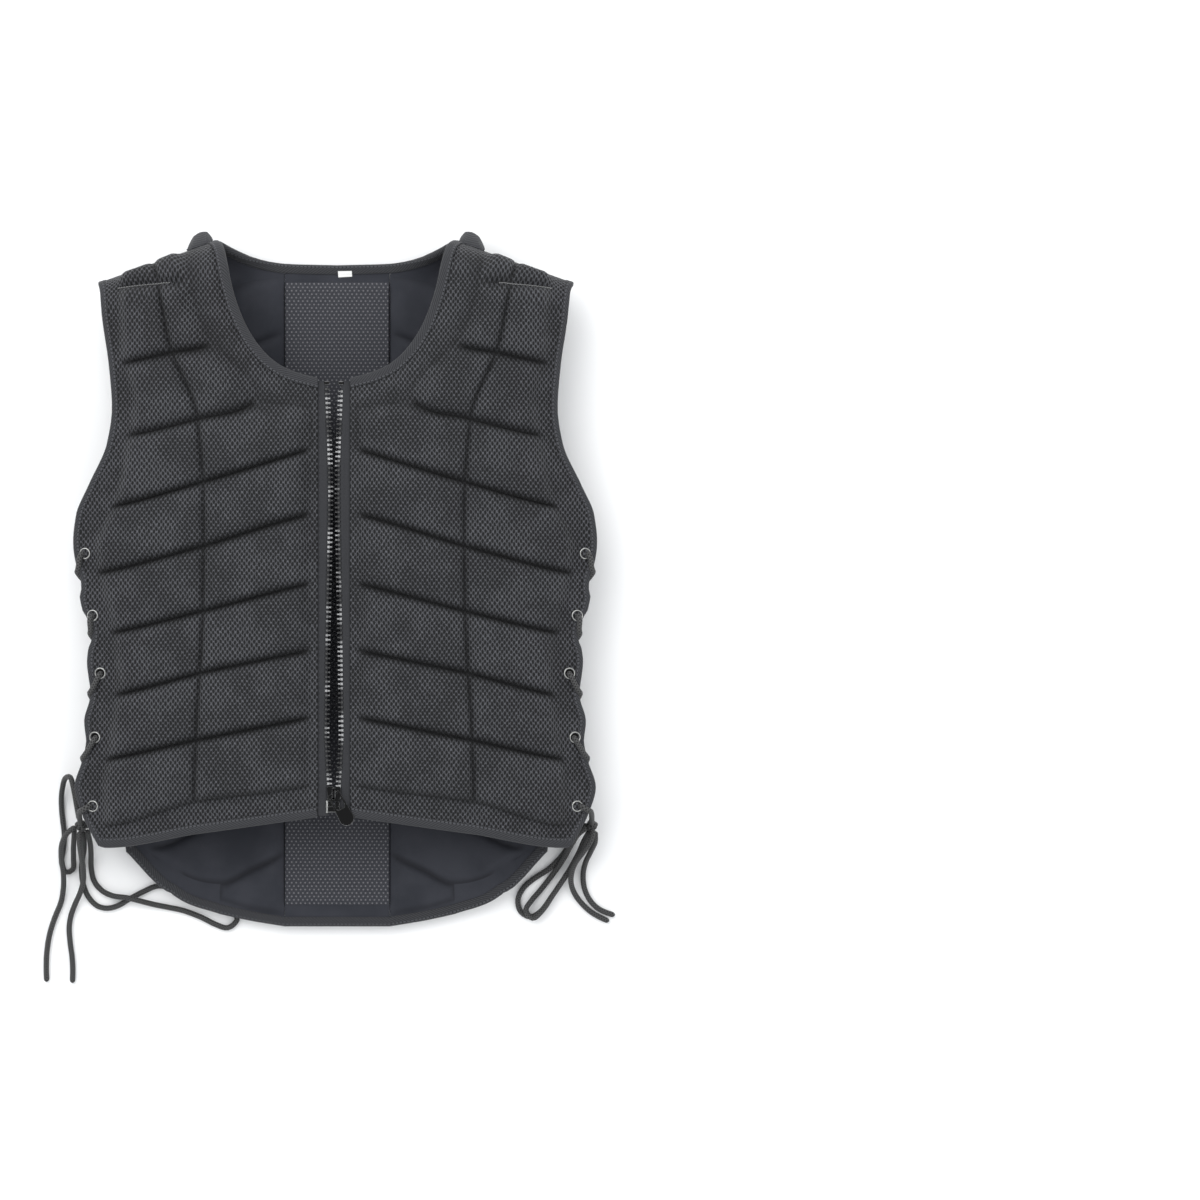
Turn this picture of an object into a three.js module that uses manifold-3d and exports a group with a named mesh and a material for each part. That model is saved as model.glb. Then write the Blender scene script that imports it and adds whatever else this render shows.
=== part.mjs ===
// Equestrian body protector, lying on its back with the zip up. Millimetres, +Y to the neck, +Z up.
import * as THREE from 'three';
import { mergeVertices } from 'three/addons/utils/BufferGeometryUtils.js';
import Module from 'manifold-3d';

const wasm = await Module();
wasm.setup();

// Whole body
const BODY_LENGTH = 602; // lowest point of the back hem to the shoulder at the neck
const CHEST_HALF = 229; // half the widest part of the front
const NECK_HALF = 103; // half the neck opening at the shoulder
const SHOULDER_DROP = 45.234; // fall of the shoulder line from the neck to the widest part's distance out

// Padded cloth
const WALL = 4; // mesh, lining and backing at a groove
const PAD_RISE = 9; // foam above the outer face
const PAD_INSIDE = 3; // foam below the lining
const PAD_BEVEL = 5; // sloping side of a foam block
const SEAM_MARGIN = 6; // pads end this far below the shoulder seam
const SPINE_HALF = 45.7; // half the spine pad
const CLEAR = 0.3; // gap between sewn pieces

// How the garment lies
const FRONT_CROWN = 74; // middle of the front wall at the zip
const FRONT_SIDE = 50; // middle of the front wall at the side edge
const CROWN_POWER = 2.2;
const FLAT_HALF = 90; // half the width of the back that touches the surface
const BACK_LIFT = 29; // rise of the back wall towards its side edge
const FOLD_HEIGHT = 38; // shoulder seam above the surface
const FOLD_REACH = 30; // how far the shoulder fold reaches down the body
const SPINE_FOLD = 0.25; // share of the fold's turn that is left at the middle of the neck

// Trim
const BINDING = 2.9; // tape beyond the wall's edge
const BINDING_PROUD = 0.8; // tape above the wall
const BINDING_GAP = 0.35; // tape from the wall's rim
const EYELET_INSET = 9; // eyelet centre from the bound edge
const EYELET_OUTER = 5.2;
const EYELET_HOLE = 3.4;
const EYELET_CREST = 4.1; // radius of the ring's highest line
const EYELET_THICK = 1;
const EYELET_SIDES = 10;
const LACE = 4.8; // lace diameter
const LACE_STAND = WALL / 2 + CLEAR + EYELET_THICK; // off the wall's middle, level with an eyelet's top
const LACE_LEAN = 0.16; // share of the way to the next eyelet made before the edge
const LOOP_WIDTH = 11.5;
const LOOP_THICK = 1.2;
const LOOP_RISE = 9;
const LOOP_SPAN = 20;

// Zip
const TAPE_THICK = 1.2;
const ZIP_EDGE = 14; // panel edge from the middle
const CHAIN_WIDTH = 4.9;
const CHAIN_THICK = 3.2;
const ZIP_GAP = 7.6; // widest gap between the two chains
const STOP_LENGTH = 3;
const SLIDER = { width: 12, length: 13, below: 3.4, above: 3.2, up: 0.1966 };
const BRIDGE = { width: 3, foot: 2.2, bar: 1.4 };
const BOX = { width: 11, length: 9, thick: 5 };
const PULL = { length: 31, width: 13, neck: 10, thick: 1.8, bar: 2.2, windowWidth: 8.2, window: 13 };
const PULL_YAW = 28; // degrees that the pull lies askew
const PULL_DROP = 2; // degrees that its end lies lower than its crossbar

const LABEL = { width: 12, length: 6, thick: 0.5, up: 0.947, out: 0.03 };
const LINING_THICK = 2.5;
const LINING_SPAN = { from: 0.032, to: 0.934 };

const COLOURS = {
  mesh: 0x2f2f32,
  lining: 0x23252c,
  binding: 0x3c3c40,
  metal: 0xb9bcc0,
  gunmetal: 0x2a2b2e,
  lace: 0x17171a,
  label: 0xe9e9e6,
};

// Every table holds shares: up of BODY_LENGTH from the lowest hem, out of CHEST_HALF from the middle.
const FRONT_NECK = [
  { up: 0.792, out: 0.06 },
  { up: 0.801, out: 0.147 },
  { up: 0.815, out: 0.219 },
  { up: 0.841, out: 0.287 },
  { up: 0.872, out: 0.336 },
  { up: 0.91, out: 0.374 },
  { up: 0.953, out: 0.402 },
  { up: 0.987, out: 0.427 },
  { up: 1.0, out: 0.45 },
];
const FRONT_PAD_INNER = [
  { up: 0.1, out: 0.083 },
  { up: 0.747, out: 0.087 },
  { up: 0.762, out: 0.287 },
  { up: 0.773, out: 0.291 },
  { up: 0.828, out: 0.415 },
  { up: 0.846, out: 0.464 },
  { up: 0.933, out: 0.545 },
  { up: 1.0, out: 0.566 },
];
const FRONT_DIVIDER = [
  { up: 0.1, out: 0.53 },
  { up: 0.273, out: 0.517 },
  { up: 0.459, out: 0.491 },
  { up: 0.595, out: 0.487 },
  { up: 0.739, out: 0.513 },
  { up: 0.839, out: 0.615 },
  { up: 0.918, out: 0.657 },
  { up: 0.971, out: 0.694 },
];
const FRONT_PAD_OUTER = [
  { up: 0.1, out: 0.86 },
  { up: 0.201, out: 0.885 },
  { up: 0.265, out: 0.862 },
  { up: 0.352, out: 0.832 },
  { up: 0.438, out: 0.853 },
  { up: 0.512, out: 0.9 },
  { up: 0.545, out: 0.912 },
  { up: 0.617, out: 0.838 },
  { up: 0.703, out: 0.79 },
  { up: 0.76, out: 0.768 },
  { up: 0.82, out: 0.81 },
  { up: 0.904, out: 0.823 },
  { up: 0.96, out: 0.838 },
];
const FRONT_SIDE_EDGE = [
  { up: 0.115, out: 0.885 },
  { up: 0.165, out: 0.955 },
  { up: 0.205, out: 0.985 },
  { up: 0.244, out: 0.955 },
  { up: 0.273, out: 0.94 },
  { up: 0.3, out: 0.942 },
  { up: 0.337, out: 0.92 },
  { up: 0.369, out: 0.922 },
  { up: 0.404, out: 0.922 },
  { up: 0.433, out: 0.943 },
  { up: 0.488, out: 0.974 },
  { up: 0.55, out: 0.996 },
  { up: 0.597, out: 0.979 },
  { up: 0.64, out: 0.93 },
  { up: 0.7, out: 0.86 },
  { up: 0.75, out: 0.841 },
  { up: 0.811, out: 0.853 },
  { up: 0.868, out: 0.875 },
  { up: 0.94, out: 0.9 },
];
// Groove lines of the front, read at the edge, pad edge, divider, pad edge and side edge.
const FRONT_LINES = [
  { edge: 0.1635, inner: 0.162, divider: 0.138, outer: 0.118, side: 0.1205 },
  { edge: 0.211, inner: 0.208, divider: 0.184, outer: 0.149, side: 0.151 },
  { edge: 0.308, inner: 0.306, divider: 0.273, outer: 0.244, side: 0.237 },
  { edge: 0.404, inner: 0.402, divider: 0.369, outer: 0.337, side: 0.33 },
  { edge: 0.5, inner: 0.498, divider: 0.458, outer: 0.426, side: 0.419 },
  { edge: 0.599, inner: 0.597, divider: 0.551, outer: 0.512, side: 0.505 },
  { edge: 0.693, inner: 0.69, divider: 0.643, outer: 0.607, side: 0.6 },
  { edge: 0.792, inner: 0.7475, divider: 0.69, outer: 0.66, side: 0.655 },
  { edge: 0.815, inner: 0.762, divider: 0.733, outer: 0.71, side: 0.707 },
  { edge: 0.858, inner: 0.842, divider: 0.828, outer: 0.8135, side: 0.811 },
  { edge: 0.944, inner: 0.933, divider: 0.921, outer: 0.9096, side: 0.904 },
  { edge: 0.991, inner: 0.976, divider: 0.96, outer: 0.94, side: 0.931 },
  { edge: 1.0, inner: 0.986, divider: 0.971, outer: 0.951, side: 0.94 },
];
const BACK_NECK = [
  { out: 0, up: 0.97 },
  { out: 0.19, up: 0.972 },
  { out: 0.285, up: 0.977 },
  { out: 0.38, up: 0.987 },
  { out: 0.45, up: 1.0 },
];
const BACK_MIDDLE = [
  { up: 0, out: 0.328 },
  { up: 0.86, out: 0.33 },
  { up: 0.93, out: 0.36 },
  { up: 1.0, out: 0.45 },
];
const BACK_DIVIDER = [
  { up: 0, out: 0.449 },
  { up: 0.165, out: 0.438 },
  { up: 0.24, out: 0.457 },
  { up: 0.825, out: 0.457 },
  { up: 0.911, out: 0.49 },
  { up: 0.97, out: 0.589 },
];
const BACK_PAD_OUTER = [
  { up: 0.05, out: 0.634 },
  { up: 0.078, out: 0.6 },
  { up: 0.115, out: 0.717 },
  { up: 0.205, out: 0.725 },
  { up: 0.298, out: 0.715 },
  { up: 0.39, out: 0.735 },
  { up: 0.488, out: 0.79 },
  { up: 0.54, out: 0.8 },
  { up: 0.6, out: 0.765 },
  { up: 0.693, out: 0.636 },
  { up: 0.79, out: 0.626 },
  { up: 0.881, out: 0.672 },
  { up: 0.94, out: 0.775 },
];
const BACK_SIDE_EDGE = [
  { up: 0.11, out: 0.8 },
  { up: 0.16, out: 0.815 },
  { up: 0.25, out: 0.802 },
  { up: 0.343, out: 0.806 },
  { up: 0.43, out: 0.838 },
  { up: 0.488, out: 0.864 },
  { up: 0.54, out: 0.895 },
  { up: 0.597, out: 0.851 },
  { up: 0.65, out: 0.785 },
  { up: 0.705, out: 0.72 },
  { up: 0.765, out: 0.672 },
  { up: 0.82, out: 0.684 },
  { up: 0.878, out: 0.748 },
  { up: 0.93, out: 0.882 },
  { up: 0.94, out: 0.894 },
];
const BACK_LINES = [
  { edge: 0.001, inner: 0.009, divider: 0.019, outer: 0.05, side: 0.11 },
  { edge: 0.019, inner: 0.027, divider: 0.04, outer: 0.066, side: 0.122 },
  { edge: 0.106, inner: 0.083, divider: 0.063, outer: 0.079, side: 0.134 },
  { edge: 0.197, inner: 0.178, divider: 0.159, outer: 0.115, side: 0.15 },
  { edge: 0.29, inner: 0.271, divider: 0.251, outer: 0.205, side: 0.202 },
  { edge: 0.383, inner: 0.364, divider: 0.343, outer: 0.298, side: 0.295 },
  { edge: 0.476, inner: 0.458, divider: 0.438, outer: 0.392, side: 0.389 },
  { edge: 0.571, inner: 0.552, divider: 0.531, outer: 0.488, side: 0.485 },
  { edge: 0.664, inner: 0.647, divider: 0.625, outer: 0.584, side: 0.577 },
  { edge: 0.763, inner: 0.745, divider: 0.723, outer: 0.693, side: 0.689 },
  { edge: 0.861, inner: 0.841, divider: 0.818, outer: 0.793, side: 0.789 },
  { edge: 0.944, inner: 0.931, divider: 0.911, outer: 0.881, side: 0.878 },
  { edge: 0.955, inner: 0.985, divider: 0.965, outer: 0.938, side: 0.93 },
  { edge: 0.972, inner: 1.0, divider: 0.975, outer: 0.95, side: 0.94 },
];
const SPINE_LINES = [0.001, 0.019, 0.944, 0.97];
const CHAIN_GAPS = [
  { along: 0, gap: 0.35 },
  { along: 0.12, gap: 1 },
  { along: 0.35, gap: 0.75 },
  { along: 0.62, gap: 0.25 },
  { along: 0.72, gap: 0.1 },
  { along: 0.8, gap: 0.2 },
  { along: 1, gap: 0.95 },
];
const FRONT_EYELETS = [0.541, 0.452, 0.369, 0.277, 0.178];
const BACK_EYELETS = [0.522, 0.43, 0.343, 0.248, 0.15];

// Routes of the bow's loops and tails, in millimetres from the middle of the lowest hem.
const ROUTES = {
  lace_loop_left_1: [
    [-224, 96.6, 29], [-226, 107, 27.5], [-228.5, 120, 26], [-232, 131, 22], [-237, 130, 15],
    [-240.5, 119, 8], [-241.5, 107, 3.5], [-240.5, 94, 2.6], [-239, 80, 2.6], [-240, 67, 2.6],
    [-241.5, 56, 2.6], [-237.5, 47.5, 2.6], [-231.5, 50, 3.2], [-230.5, 60, 8], [-230, 69, 14],
    [-229, 77, 20.5], [-228, 84.6, 27.2],
  ],
  lace_loop_left_2: [
    [-221.2, 83, 24.8], [-220.5, 76, 17.5], [-221, 68, 10], [-223, 59.5, 4.5], [-224, 49, 2.6],
    [-222.5, 37, 2.6], [-218, 26, 2.6], [-210, 18, 2.6], [-201, 16, 2.6], [-191.5, 18.5, 2.6],
    [-181.5, 24.5, 2.6], [-170, 30.5, 2.6], [-157, 35.5, 2.6], [-143, 32.5, 2.6], [-129, 27, 2.6],
    [-115, 21.5, 2.6], [-102, 19, 2.6], [-91, 15.5, 2.6], [-88, 6, 2.6], [-96, -1, 2.6],
    [-107, 2, 2.6], [-119, 8, 2.6], [-135, 14, 2.6], [-149, 17, 2.6], [-161, 19.5, 4], [-172, 22.5, 7],
    [-184, 25.5, 8], [-196, 27, 6.5], [-206, 31.5, 3.5], [-213, 40, 2.7], [-215.5, 52, 3.5],
    [-215, 63, 10], [-215, 73, 18], [-216.4, 83.8, 27.6],
  ],
  lace_tail_left_1: [
    [-228, 87.4, 35], [-233.5, 83, 35.5], [-238.5, 73.5, 30], [-240, 62, 21.5], [-239, 48, 12.5],
    [-239.5, 34, 6], [-242, 21, 2.8], [-247, 8.6, 2.6], [-251.7, -6, 2.6], [-254.3, -22.5, 2.6],
    [-254.8, -36, 2.6], [-254.5, -46, 2.6],
  ],
  lace_tail_left_2: [
    [-222.8, 82.6, 34.8], [-223, 75, 34], [-222, 63, 27.5], [-221, 51, 20], [-221.5, 40, 13.5],
    [-224.5, 30, 9.5], [-229, 20.5, 5], [-232.8, 11, 2.8], [-234.7, 0, 2.6], [-234, -13, 2.6],
    [-232.2, -26.8, 2.6], [-231.6, -38, 2.6], [-231.8, -47, 2.6],
  ],
  lace_loop_right_1: [
    [215.6, 87, 26], [209.5, 82, 20], [203, 72.5, 11.5], [194.6, 60.5, 4.5], [184, 50, 2.6],
    [172.5, 42.5, 2.6], [162.5, 34, 2.6], [157.5, 23.5, 2.6], [160, 13, 2.6], [168.5, 8.5, 2.6],
    [177.5, 13.5, 2.6], [187.5, 27, 2.6], [197, 41, 2.6], [204.5, 53, 3.5], [210.5, 64.5, 9.5],
    [215, 75, 18], [219.2, 83, 25.6],
  ],
  lace_loop_right_2: [
    [216, 86.6, 34.4], [210, 81.5, 32], [204, 72, 22.5], [198.5, 61.5, 12], [191.5, 50.5, 5],
    [184, 40.5, 2.7], [176.5, 31, 2.6], [169.5, 23, 4.8], [164.5, 14.5, 7.8], [170.5, 7.5, 8],
    [179, 14.5, 8], [187.7, 27.3, 8], [197.2, 41.3, 8], [205, 53, 10], [211.5, 64, 17],
    [216, 74, 25.5], [219.6, 82.2, 31.6],
  ],
  lace_tail_right_1: [
    [223.2, 84.2, 36.2], [221, 76, 37], [214.5, 66, 31.5], [208, 57, 24], [204.5, 47.5, 16.5],
    [204, 38, 9], [207, 29, 4], [213, 20.5, 2.7], [221, 13, 2.6], [228.5, 8.5, 2.6], [235, 5.5, 2.6],
  ],
  lace_tail_right_2: [
    [225.2, 82.2, 30], [225, 75, 25], [221, 66, 17], [216.5, 56, 9], [214.5, 46, 3.7],
    [215.5, 34, 2.6], [219.5, 24.5, 2.6], [226, 17, 2.6], [233, 13, 2.6], [240, 10.5, 2.6],
  ],
};
const ROUTE_STEP = 14; // length of one straight step of a free cord
const CORD_SIDES = 8;
const KNOT = { x: 222, y: 89, z: 30, radius: 6.2 };

function material(colour, roughness, metalness) {
  return new THREE.MeshStandardMaterial({ color: colour, roughness, metalness });
}

function named(name, geometry, colour, roughness = 0.85, metalness = 0) {
  const mesh = new THREE.Mesh(geometry, material(colour, roughness, metalness));
  mesh.name = name;
  return mesh;
}

// A table's column read at a place between its rows
function readTable(rows, at, key, column) {
  let next = rows.findIndex((row) => row[key] >= at);
  if (next === 0) next = 1;
  if (next < 0) next = rows.length - 1;
  const [a, b] = [rows[next - 1], rows[next]];
  const share = THREE.MathUtils.clamp((at - a[key]) / (b[key] - a[key]), 0, 1);
  return a[column] + (b[column] - a[column]) * share;
}

const outAt = (rows) => (up) => readTable(rows, up, 'up', 'out') * CHEST_HALF;
const mix = THREE.MathUtils.lerp;

// Walls of the body as surfaces of out, x, and along, a, which bends over the shoulder
const SEAM_SET = WALL / 2 + PAD_RISE / 2;

function shoulderTop(x) {
  const past = Math.max(Math.abs(x) - NECK_HALF, 0) / (CHEST_HALF - NECK_HALF);
  return BODY_LENGTH - SEAM_SET - SHOULDER_DROP * past;
}

function backTop(x) {
  if (Math.abs(x) >= NECK_HALF) return shoulderTop(x);
  return readTable(BACK_NECK, Math.abs(x) / CHEST_HALF, 'out', 'up') * BODY_LENGTH - SEAM_SET;
}

function frontWall(x, a) {
  const rest = mix(FRONT_CROWN, FRONT_SIDE, (Math.abs(x) / CHEST_HALF) ** CROWN_POWER);
  const start = shoulderTop(x) - FOLD_REACH;
  const turn = (Math.max(a - start, 0) / FOLD_REACH) * (Math.PI / 2);
  const seam = FOLD_HEIGHT + CLEAR / 2;
  return new THREE.Vector3(
    x,
    Math.min(a, start) + FOLD_REACH * Math.sin(turn),
    seam + (rest - seam) * Math.cos(turn),
  );
}

function backWall(x, a) {
  const past = Math.max(Math.abs(x) - FLAT_HALF, 0) / (CHEST_HALF - FLAT_HALF);
  const rest = WALL / 2 + PAD_RISE + BACK_LIFT * past ** 2;
  const start = backTop(x) - FOLD_REACH;
  const side = THREE.MathUtils.smoothstep(Math.abs(x), SPINE_HALF, NECK_HALF);
  const most = mix(SPINE_FOLD, 1, side) * (Math.PI / 2);
  const turn = (Math.max(a - start, 0) / FOLD_REACH) * most;
  const seam = FOLD_HEIGHT - CLEAR / 2;
  return new THREE.Vector3(
    x,
    Math.min(a, start) + (FOLD_REACH * Math.sin(turn)) / Math.sin(most),
    rest + (seam - rest) * (1 - Math.cos(turn)),
  );
}

const FRONT = { wall: frontWall, out: 1 };
const BACK = { wall: backWall, out: -1 };
const PROBE = 0.05;

// Outward normal of a wall, and the direction in it for a step (dx, da)
function normalAt(side, x, a) {
  const across = side.wall(x + PROBE, a).sub(side.wall(x - PROBE, a));
  const along = side.wall(x, a + PROBE).sub(side.wall(x, a - PROBE));
  return across.cross(along).normalize().multiplyScalar(side.out);
}

function directionAt(side, x, a, dx, da) {
  const ahead = side.wall(x + dx * PROBE, a + da * PROBE);
  return ahead.sub(side.wall(x - dx * PROBE, a - da * PROBE)).normalize();
}

function offWall(side, x, a, height) {
  return side.wall(x, a).addScaledVector(normalAt(side, x, a), height);
}

// One closed mesh from lists of vertices and triangles, turned to face outwards
function closedGeometry(points, triangles) {
  let volume = 0;
  for (const [a, b, c] of triangles) {
    volume += points[a].dot(points[b].clone().cross(points[c]));
  }
  const faces = volume > 0 ? triangles : triangles.map(([a, b, c]) => [a, c, b]);
  const geometry = new THREE.BufferGeometry();
  geometry.setAttribute(
    'position',
    new THREE.Float32BufferAttribute(points.flatMap((p) => [p.x, p.y, p.z]), 3),
  );
  geometry.setIndex(faces.flat());
  geometry.computeVertexNormals();
  return geometry;
}

// Rings of equal count joined into a closed tube with flat ends; a ring marked turned has its
// quads split the other way, as the wall beside them is
function sweep(rings) {
  const count = rings[0].length;
  const points = rings.flat();
  const triangles = [];
  for (let r = 0; r + 1 < rings.length; r += 1) {
    for (let k = 0; k < count; k += 1) {
      const [a, b] = [r * count + k, r * count + ((k + 1) % count)];
      if (rings[r].turned) triangles.push([a, b, a + count], [b, b + count, a + count]);
      else triangles.push([a, b, b + count], [a, b + count, a + count]);
    }
  }
  const last = (rings.length - 1) * count;
  for (let k = 1; k + 1 < count; k += 1) {
    triangles.push([0, k + 1, k], [last, last + k, last + k + 1]);
  }
  return closedGeometry(points, triangles);
}

// A fine outer grid and a coarse inner field, whose rim has every vertex of the border
function shell(outer, rim, field, keepRows, keepColumns) {
  const [rows, columns] = [outer.length, outer[0].length];
  const points = outer.flat();
  const triangles = [];
  const quad = (a, b, c, d) => triangles.push([a, b, c], [a, c, d]);
  const out = (r, c) => r * columns + c;
  const rimIndex = new Map();
  for (let r = 0; r < rows; r += 1) {
    for (let c = 0; c < columns; c += 1) {
      if (r % (rows - 1) && c % (columns - 1)) continue;
      rimIndex.set(out(r, c), points.push(rim(r, c)) - 1);
    }
  }
  const edge = (r, c) => rimIndex.get(out(r, c));
  const fieldStart = points.length;
  const [high, wide] = [keepRows.length - 2, keepColumns.length - 2];
  for (let i = 1; i <= high; i += 1) {
    for (let j = 1; j <= wide; j += 1) points.push(field(keepRows[i], keepColumns[j]));
  }
  const inn = (i, j) => fieldStart + (i - 1) * wide + (j - 1);
  for (let r = 0; r + 1 < rows; r += 1) {
    for (let c = 0; c + 1 < columns; c += 1) {
      quad(out(r, c), out(r, c + 1), out(r + 1, c + 1), out(r + 1, c));
    }
  }
  for (let i = 1; i < high; i += 1) {
    for (let j = 1; j < wide; j += 1) quad(inn(i, j), inn(i + 1, j), inn(i + 1, j + 1), inn(i, j + 1));
  }
  // One side of the border: the wall's end face, and the rim joined to the field
  const strip = (keep, outerAt, rimAt, innerAt, turned) => {
    const face = (a, b, c) => triangles.push(turned ? [a, c, b] : [a, b, c]);
    const last = keep.length - 2;
    for (let j = 0; j <= last; j += 1) {
      const near = innerAt(THREE.MathUtils.clamp(j, 1, last));
      for (let k = keep[j]; k < keep[j + 1]; k += 1) {
        face(rimAt(k), outerAt(k + 1), outerAt(k));
        face(rimAt(k), rimAt(k + 1), outerAt(k + 1));
        face(near, rimAt(k + 1), rimAt(k));
      }
      if (j >= 1 && j < last) face(near, innerAt(j + 1), rimAt(keep[j + 1]));
    }
  };
  const [top, side] = [rows - 1, columns - 1];
  strip(keepColumns, (c) => out(0, c), (c) => edge(0, c), (j) => inn(1, j), false);
  strip(keepColumns, (c) => out(top, c), (c) => edge(top, c), (j) => inn(high, j), true);
  strip(keepRows, (r) => out(r, 0), (r) => edge(r, 0), (i) => inn(i, 1), true);
  strip(keepRows, (r) => out(r, side), (r) => edge(r, side), (i) => inn(i, wide), false);
  return closedGeometry(points, triangles);
}

function mirrored(geometry) {
  const copy = geometry.clone();
  copy.scale(-1, 1, 1);
  const index = copy.getIndex().array;
  for (let i = 0; i < index.length; i += 3) [index[i + 1], index[i + 2]] = [index[i + 2], index[i + 1]];
  copy.computeVertexNormals();
  return copy;
}

function toSolid(geometry) {
  const bare = geometry.clone();
  bare.deleteAttribute('normal');
  bare.deleteAttribute('uv');
  const merged = mergeVertices(bare);
  return new wasm.Manifold(new wasm.Mesh({
    numProp: 3,
    vertProperties: new Float32Array(merged.getAttribute('position').array),
    triVerts: new Uint32Array(merged.getIndex().array),
  }));
}

function fromSolid(solid) {
  const mesh = solid.getMesh();
  const geometry = new THREE.BufferGeometry();
  geometry.setAttribute('position', new THREE.BufferAttribute(mesh.vertProperties, 3));
  geometry.setIndex([...mesh.triVerts]);
  geometry.computeVertexNormals();
  return geometry;
}

// Fine lines of a panel: at counts its main lines, step moves a bevel's width from one, top lies on foam
function fineLines(last, plain, extra) {
  const lines = [];
  for (let at = 0; at <= last; at += 1) {
    const flat = plain.includes(at);
    if (!flat && lines.length) lines.push({ at, step: -1, top: true });
    lines.push({ at, step: 0, top: flat && extra.includes(at) });
    if (!flat) lines.push({ at, step: 1, top: true });
    if (extra.includes(at + 0.5)) lines.push({ at: at + 0.5, step: 0, top: true });
  }
  return lines;
}

const LINE_KEYS = ['edge', 'inner', 'divider', 'outer', 'side'];

// Share of up for a row line, read between the main columns
function lineUp(lines, row, column) {
  const low = Math.min(Math.floor(column), LINE_KEYS.length - 2);
  return mix(lines[row][LINE_KEYS[low]], lines[row][LINE_KEYS[low + 1]], column - low);
}

// The last two lines follow the shoulder: the pads end SEAM_MARGIN below it
function panelPoint(panel, column, row) {
  const c = Math.min(Math.floor(column), LINE_KEYS.length - 2);
  const r = Math.min(Math.floor(row), panel.lines.length - 2);
  const upAt = (k) => mix(lineUp(panel.lines, r, k), lineUp(panel.lines, r + 1, k), row - r);
  const x = mix(panel.columns[c](upAt(c)), panel.columns[c + 1](upAt(c + 1)), column - c);
  const alongAt = (line) => {
    const below = panel.lines.length - 1 - line;
    if (below < 2) return panel.top(x) - below * SEAM_MARGIN;
    return lineUp(panel.lines, line, column) * BODY_LENGTH;
  };
  return new THREE.Vector2(x, mix(alongAt(r), alongAt(r + 1), row - r));
}

// Grid of places (x, a) on the wall, with each place's share of the foam's rise
function panelGrid(panel) {
  return panel.rows.map((row) => panel.across.map((line) => {
    let [column, level] = [line.at, row.at];
    if (line.step) {
      const wide = panelPoint(panel, column + line.step, level).sub(panelPoint(panel, column, level));
      column += (line.step * PAD_BEVEL) / Math.abs(wide.x);
    }
    if (row.step) {
      const high = panelPoint(panel, column, level + row.step).sub(panelPoint(panel, column, level));
      level += (row.step * PAD_BEVEL) / Math.abs(high.y);
    }
    const place = panelPoint(panel, column, level);
    return { x: place.x, a: place.y, rise: panel.padded(line, row) ? 1 : 0, nudge: [] };
  }));
}

// Moves a border line in by the width of its tape and notes which way is out
function insetBorder(line, turn, squareStart = false) {
  const outwards = line.map((place, i) => {
    const [a, b] = [line[Math.max(i - 1, 0)], line[Math.min(i + 1, line.length - 1)]];
    const out = new THREE.Vector2(b.a - a.a, a.x - b.x).multiplyScalar(turn);
    if (squareStart && i === 0) out.x = 0;
    return out.normalize();
  });
  line.forEach((place, i) => place.nudge.push(outwards[i]));
  return line.map((place, i) => ({ place, out: outwards[i] }));
}

function settle(grid, top, firstOnSeam) {
  for (const place of grid.flat()) {
    for (const out of place.nudge) {
      place.x -= out.x * (BINDING + CLEAR);
      place.a -= out.y * (BINDING + CLEAR);
    }
  }
  for (const place of grid.at(-1).slice(firstOnSeam)) place.a = top(place.x);
}

function panelGeometry(side, grid, keepRows, keepColumns, insideRise) {
  const outer = grid.map((row) => row.map(
    (place) => offWall(side, place.x, place.a, WALL / 2 + place.rise * PAD_RISE),
  ));
  const inside = (rise) => (r, c) => offWall(side, grid[r][c].x, grid[r][c].a, -WALL / 2 - rise);
  return shell(outer, inside(0), inside(insideRise), keepRows, keepColumns);
}

// The front half on +X
const SHOULDER_ROW = FRONT_LINES.length - 1;
const FRONT_CORNER_ROW = 7; // the neck's lowest point, inside a row of pads
const front = {
  lines: FRONT_LINES,
  top: shoulderTop,
  columns: [
    (up) => Math.max(ZIP_EDGE, outAt(FRONT_NECK)(up)),
    outAt(FRONT_PAD_INNER),
    outAt(FRONT_DIVIDER),
    outAt(FRONT_PAD_OUTER),
    outAt(FRONT_SIDE_EDGE),
  ],
  across: [
    { at: 0, step: 0 },
    ...fineLines(3, [], [1.5, 2.5]).filter((line) => line.at >= 1).slice(1, -1),
    { at: 4, step: 0 },
  ],
  rows: [
    { at: 0, step: 0 },
    ...fineLines(SHOULDER_ROW - 1, [FRONT_CORNER_ROW], [FRONT_CORNER_ROW, SHOULDER_ROW - 1.5])
      .filter((line) => line.at >= 1).slice(1, -1),
    { at: SHOULDER_ROW, step: 0 },
  ],
  padded: (line, row) => Boolean(line.top && row.top),
};
const frontGrid = panelGrid(front);
const frontCornerIndex = front.rows.findIndex((row) => row.at === FRONT_CORNER_ROW);
const frontLast = front.across.length - 1;
const frontSide = insetBorder(frontGrid.map((row) => row[frontLast]), 1);
const frontHem = insetBorder(frontGrid[0], 1, true);
const frontNeckLine = frontGrid.slice(frontCornerIndex).map((row) => row[0]);
frontNeckLine[0].a = FRONT_LINES[FRONT_CORNER_ROW].edge * BODY_LENGTH;
const frontNeck = insetBorder(frontNeckLine, -1);
frontNeck[0].out.set(0, 1);
settle(frontGrid, shoulderTop, 0);

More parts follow.
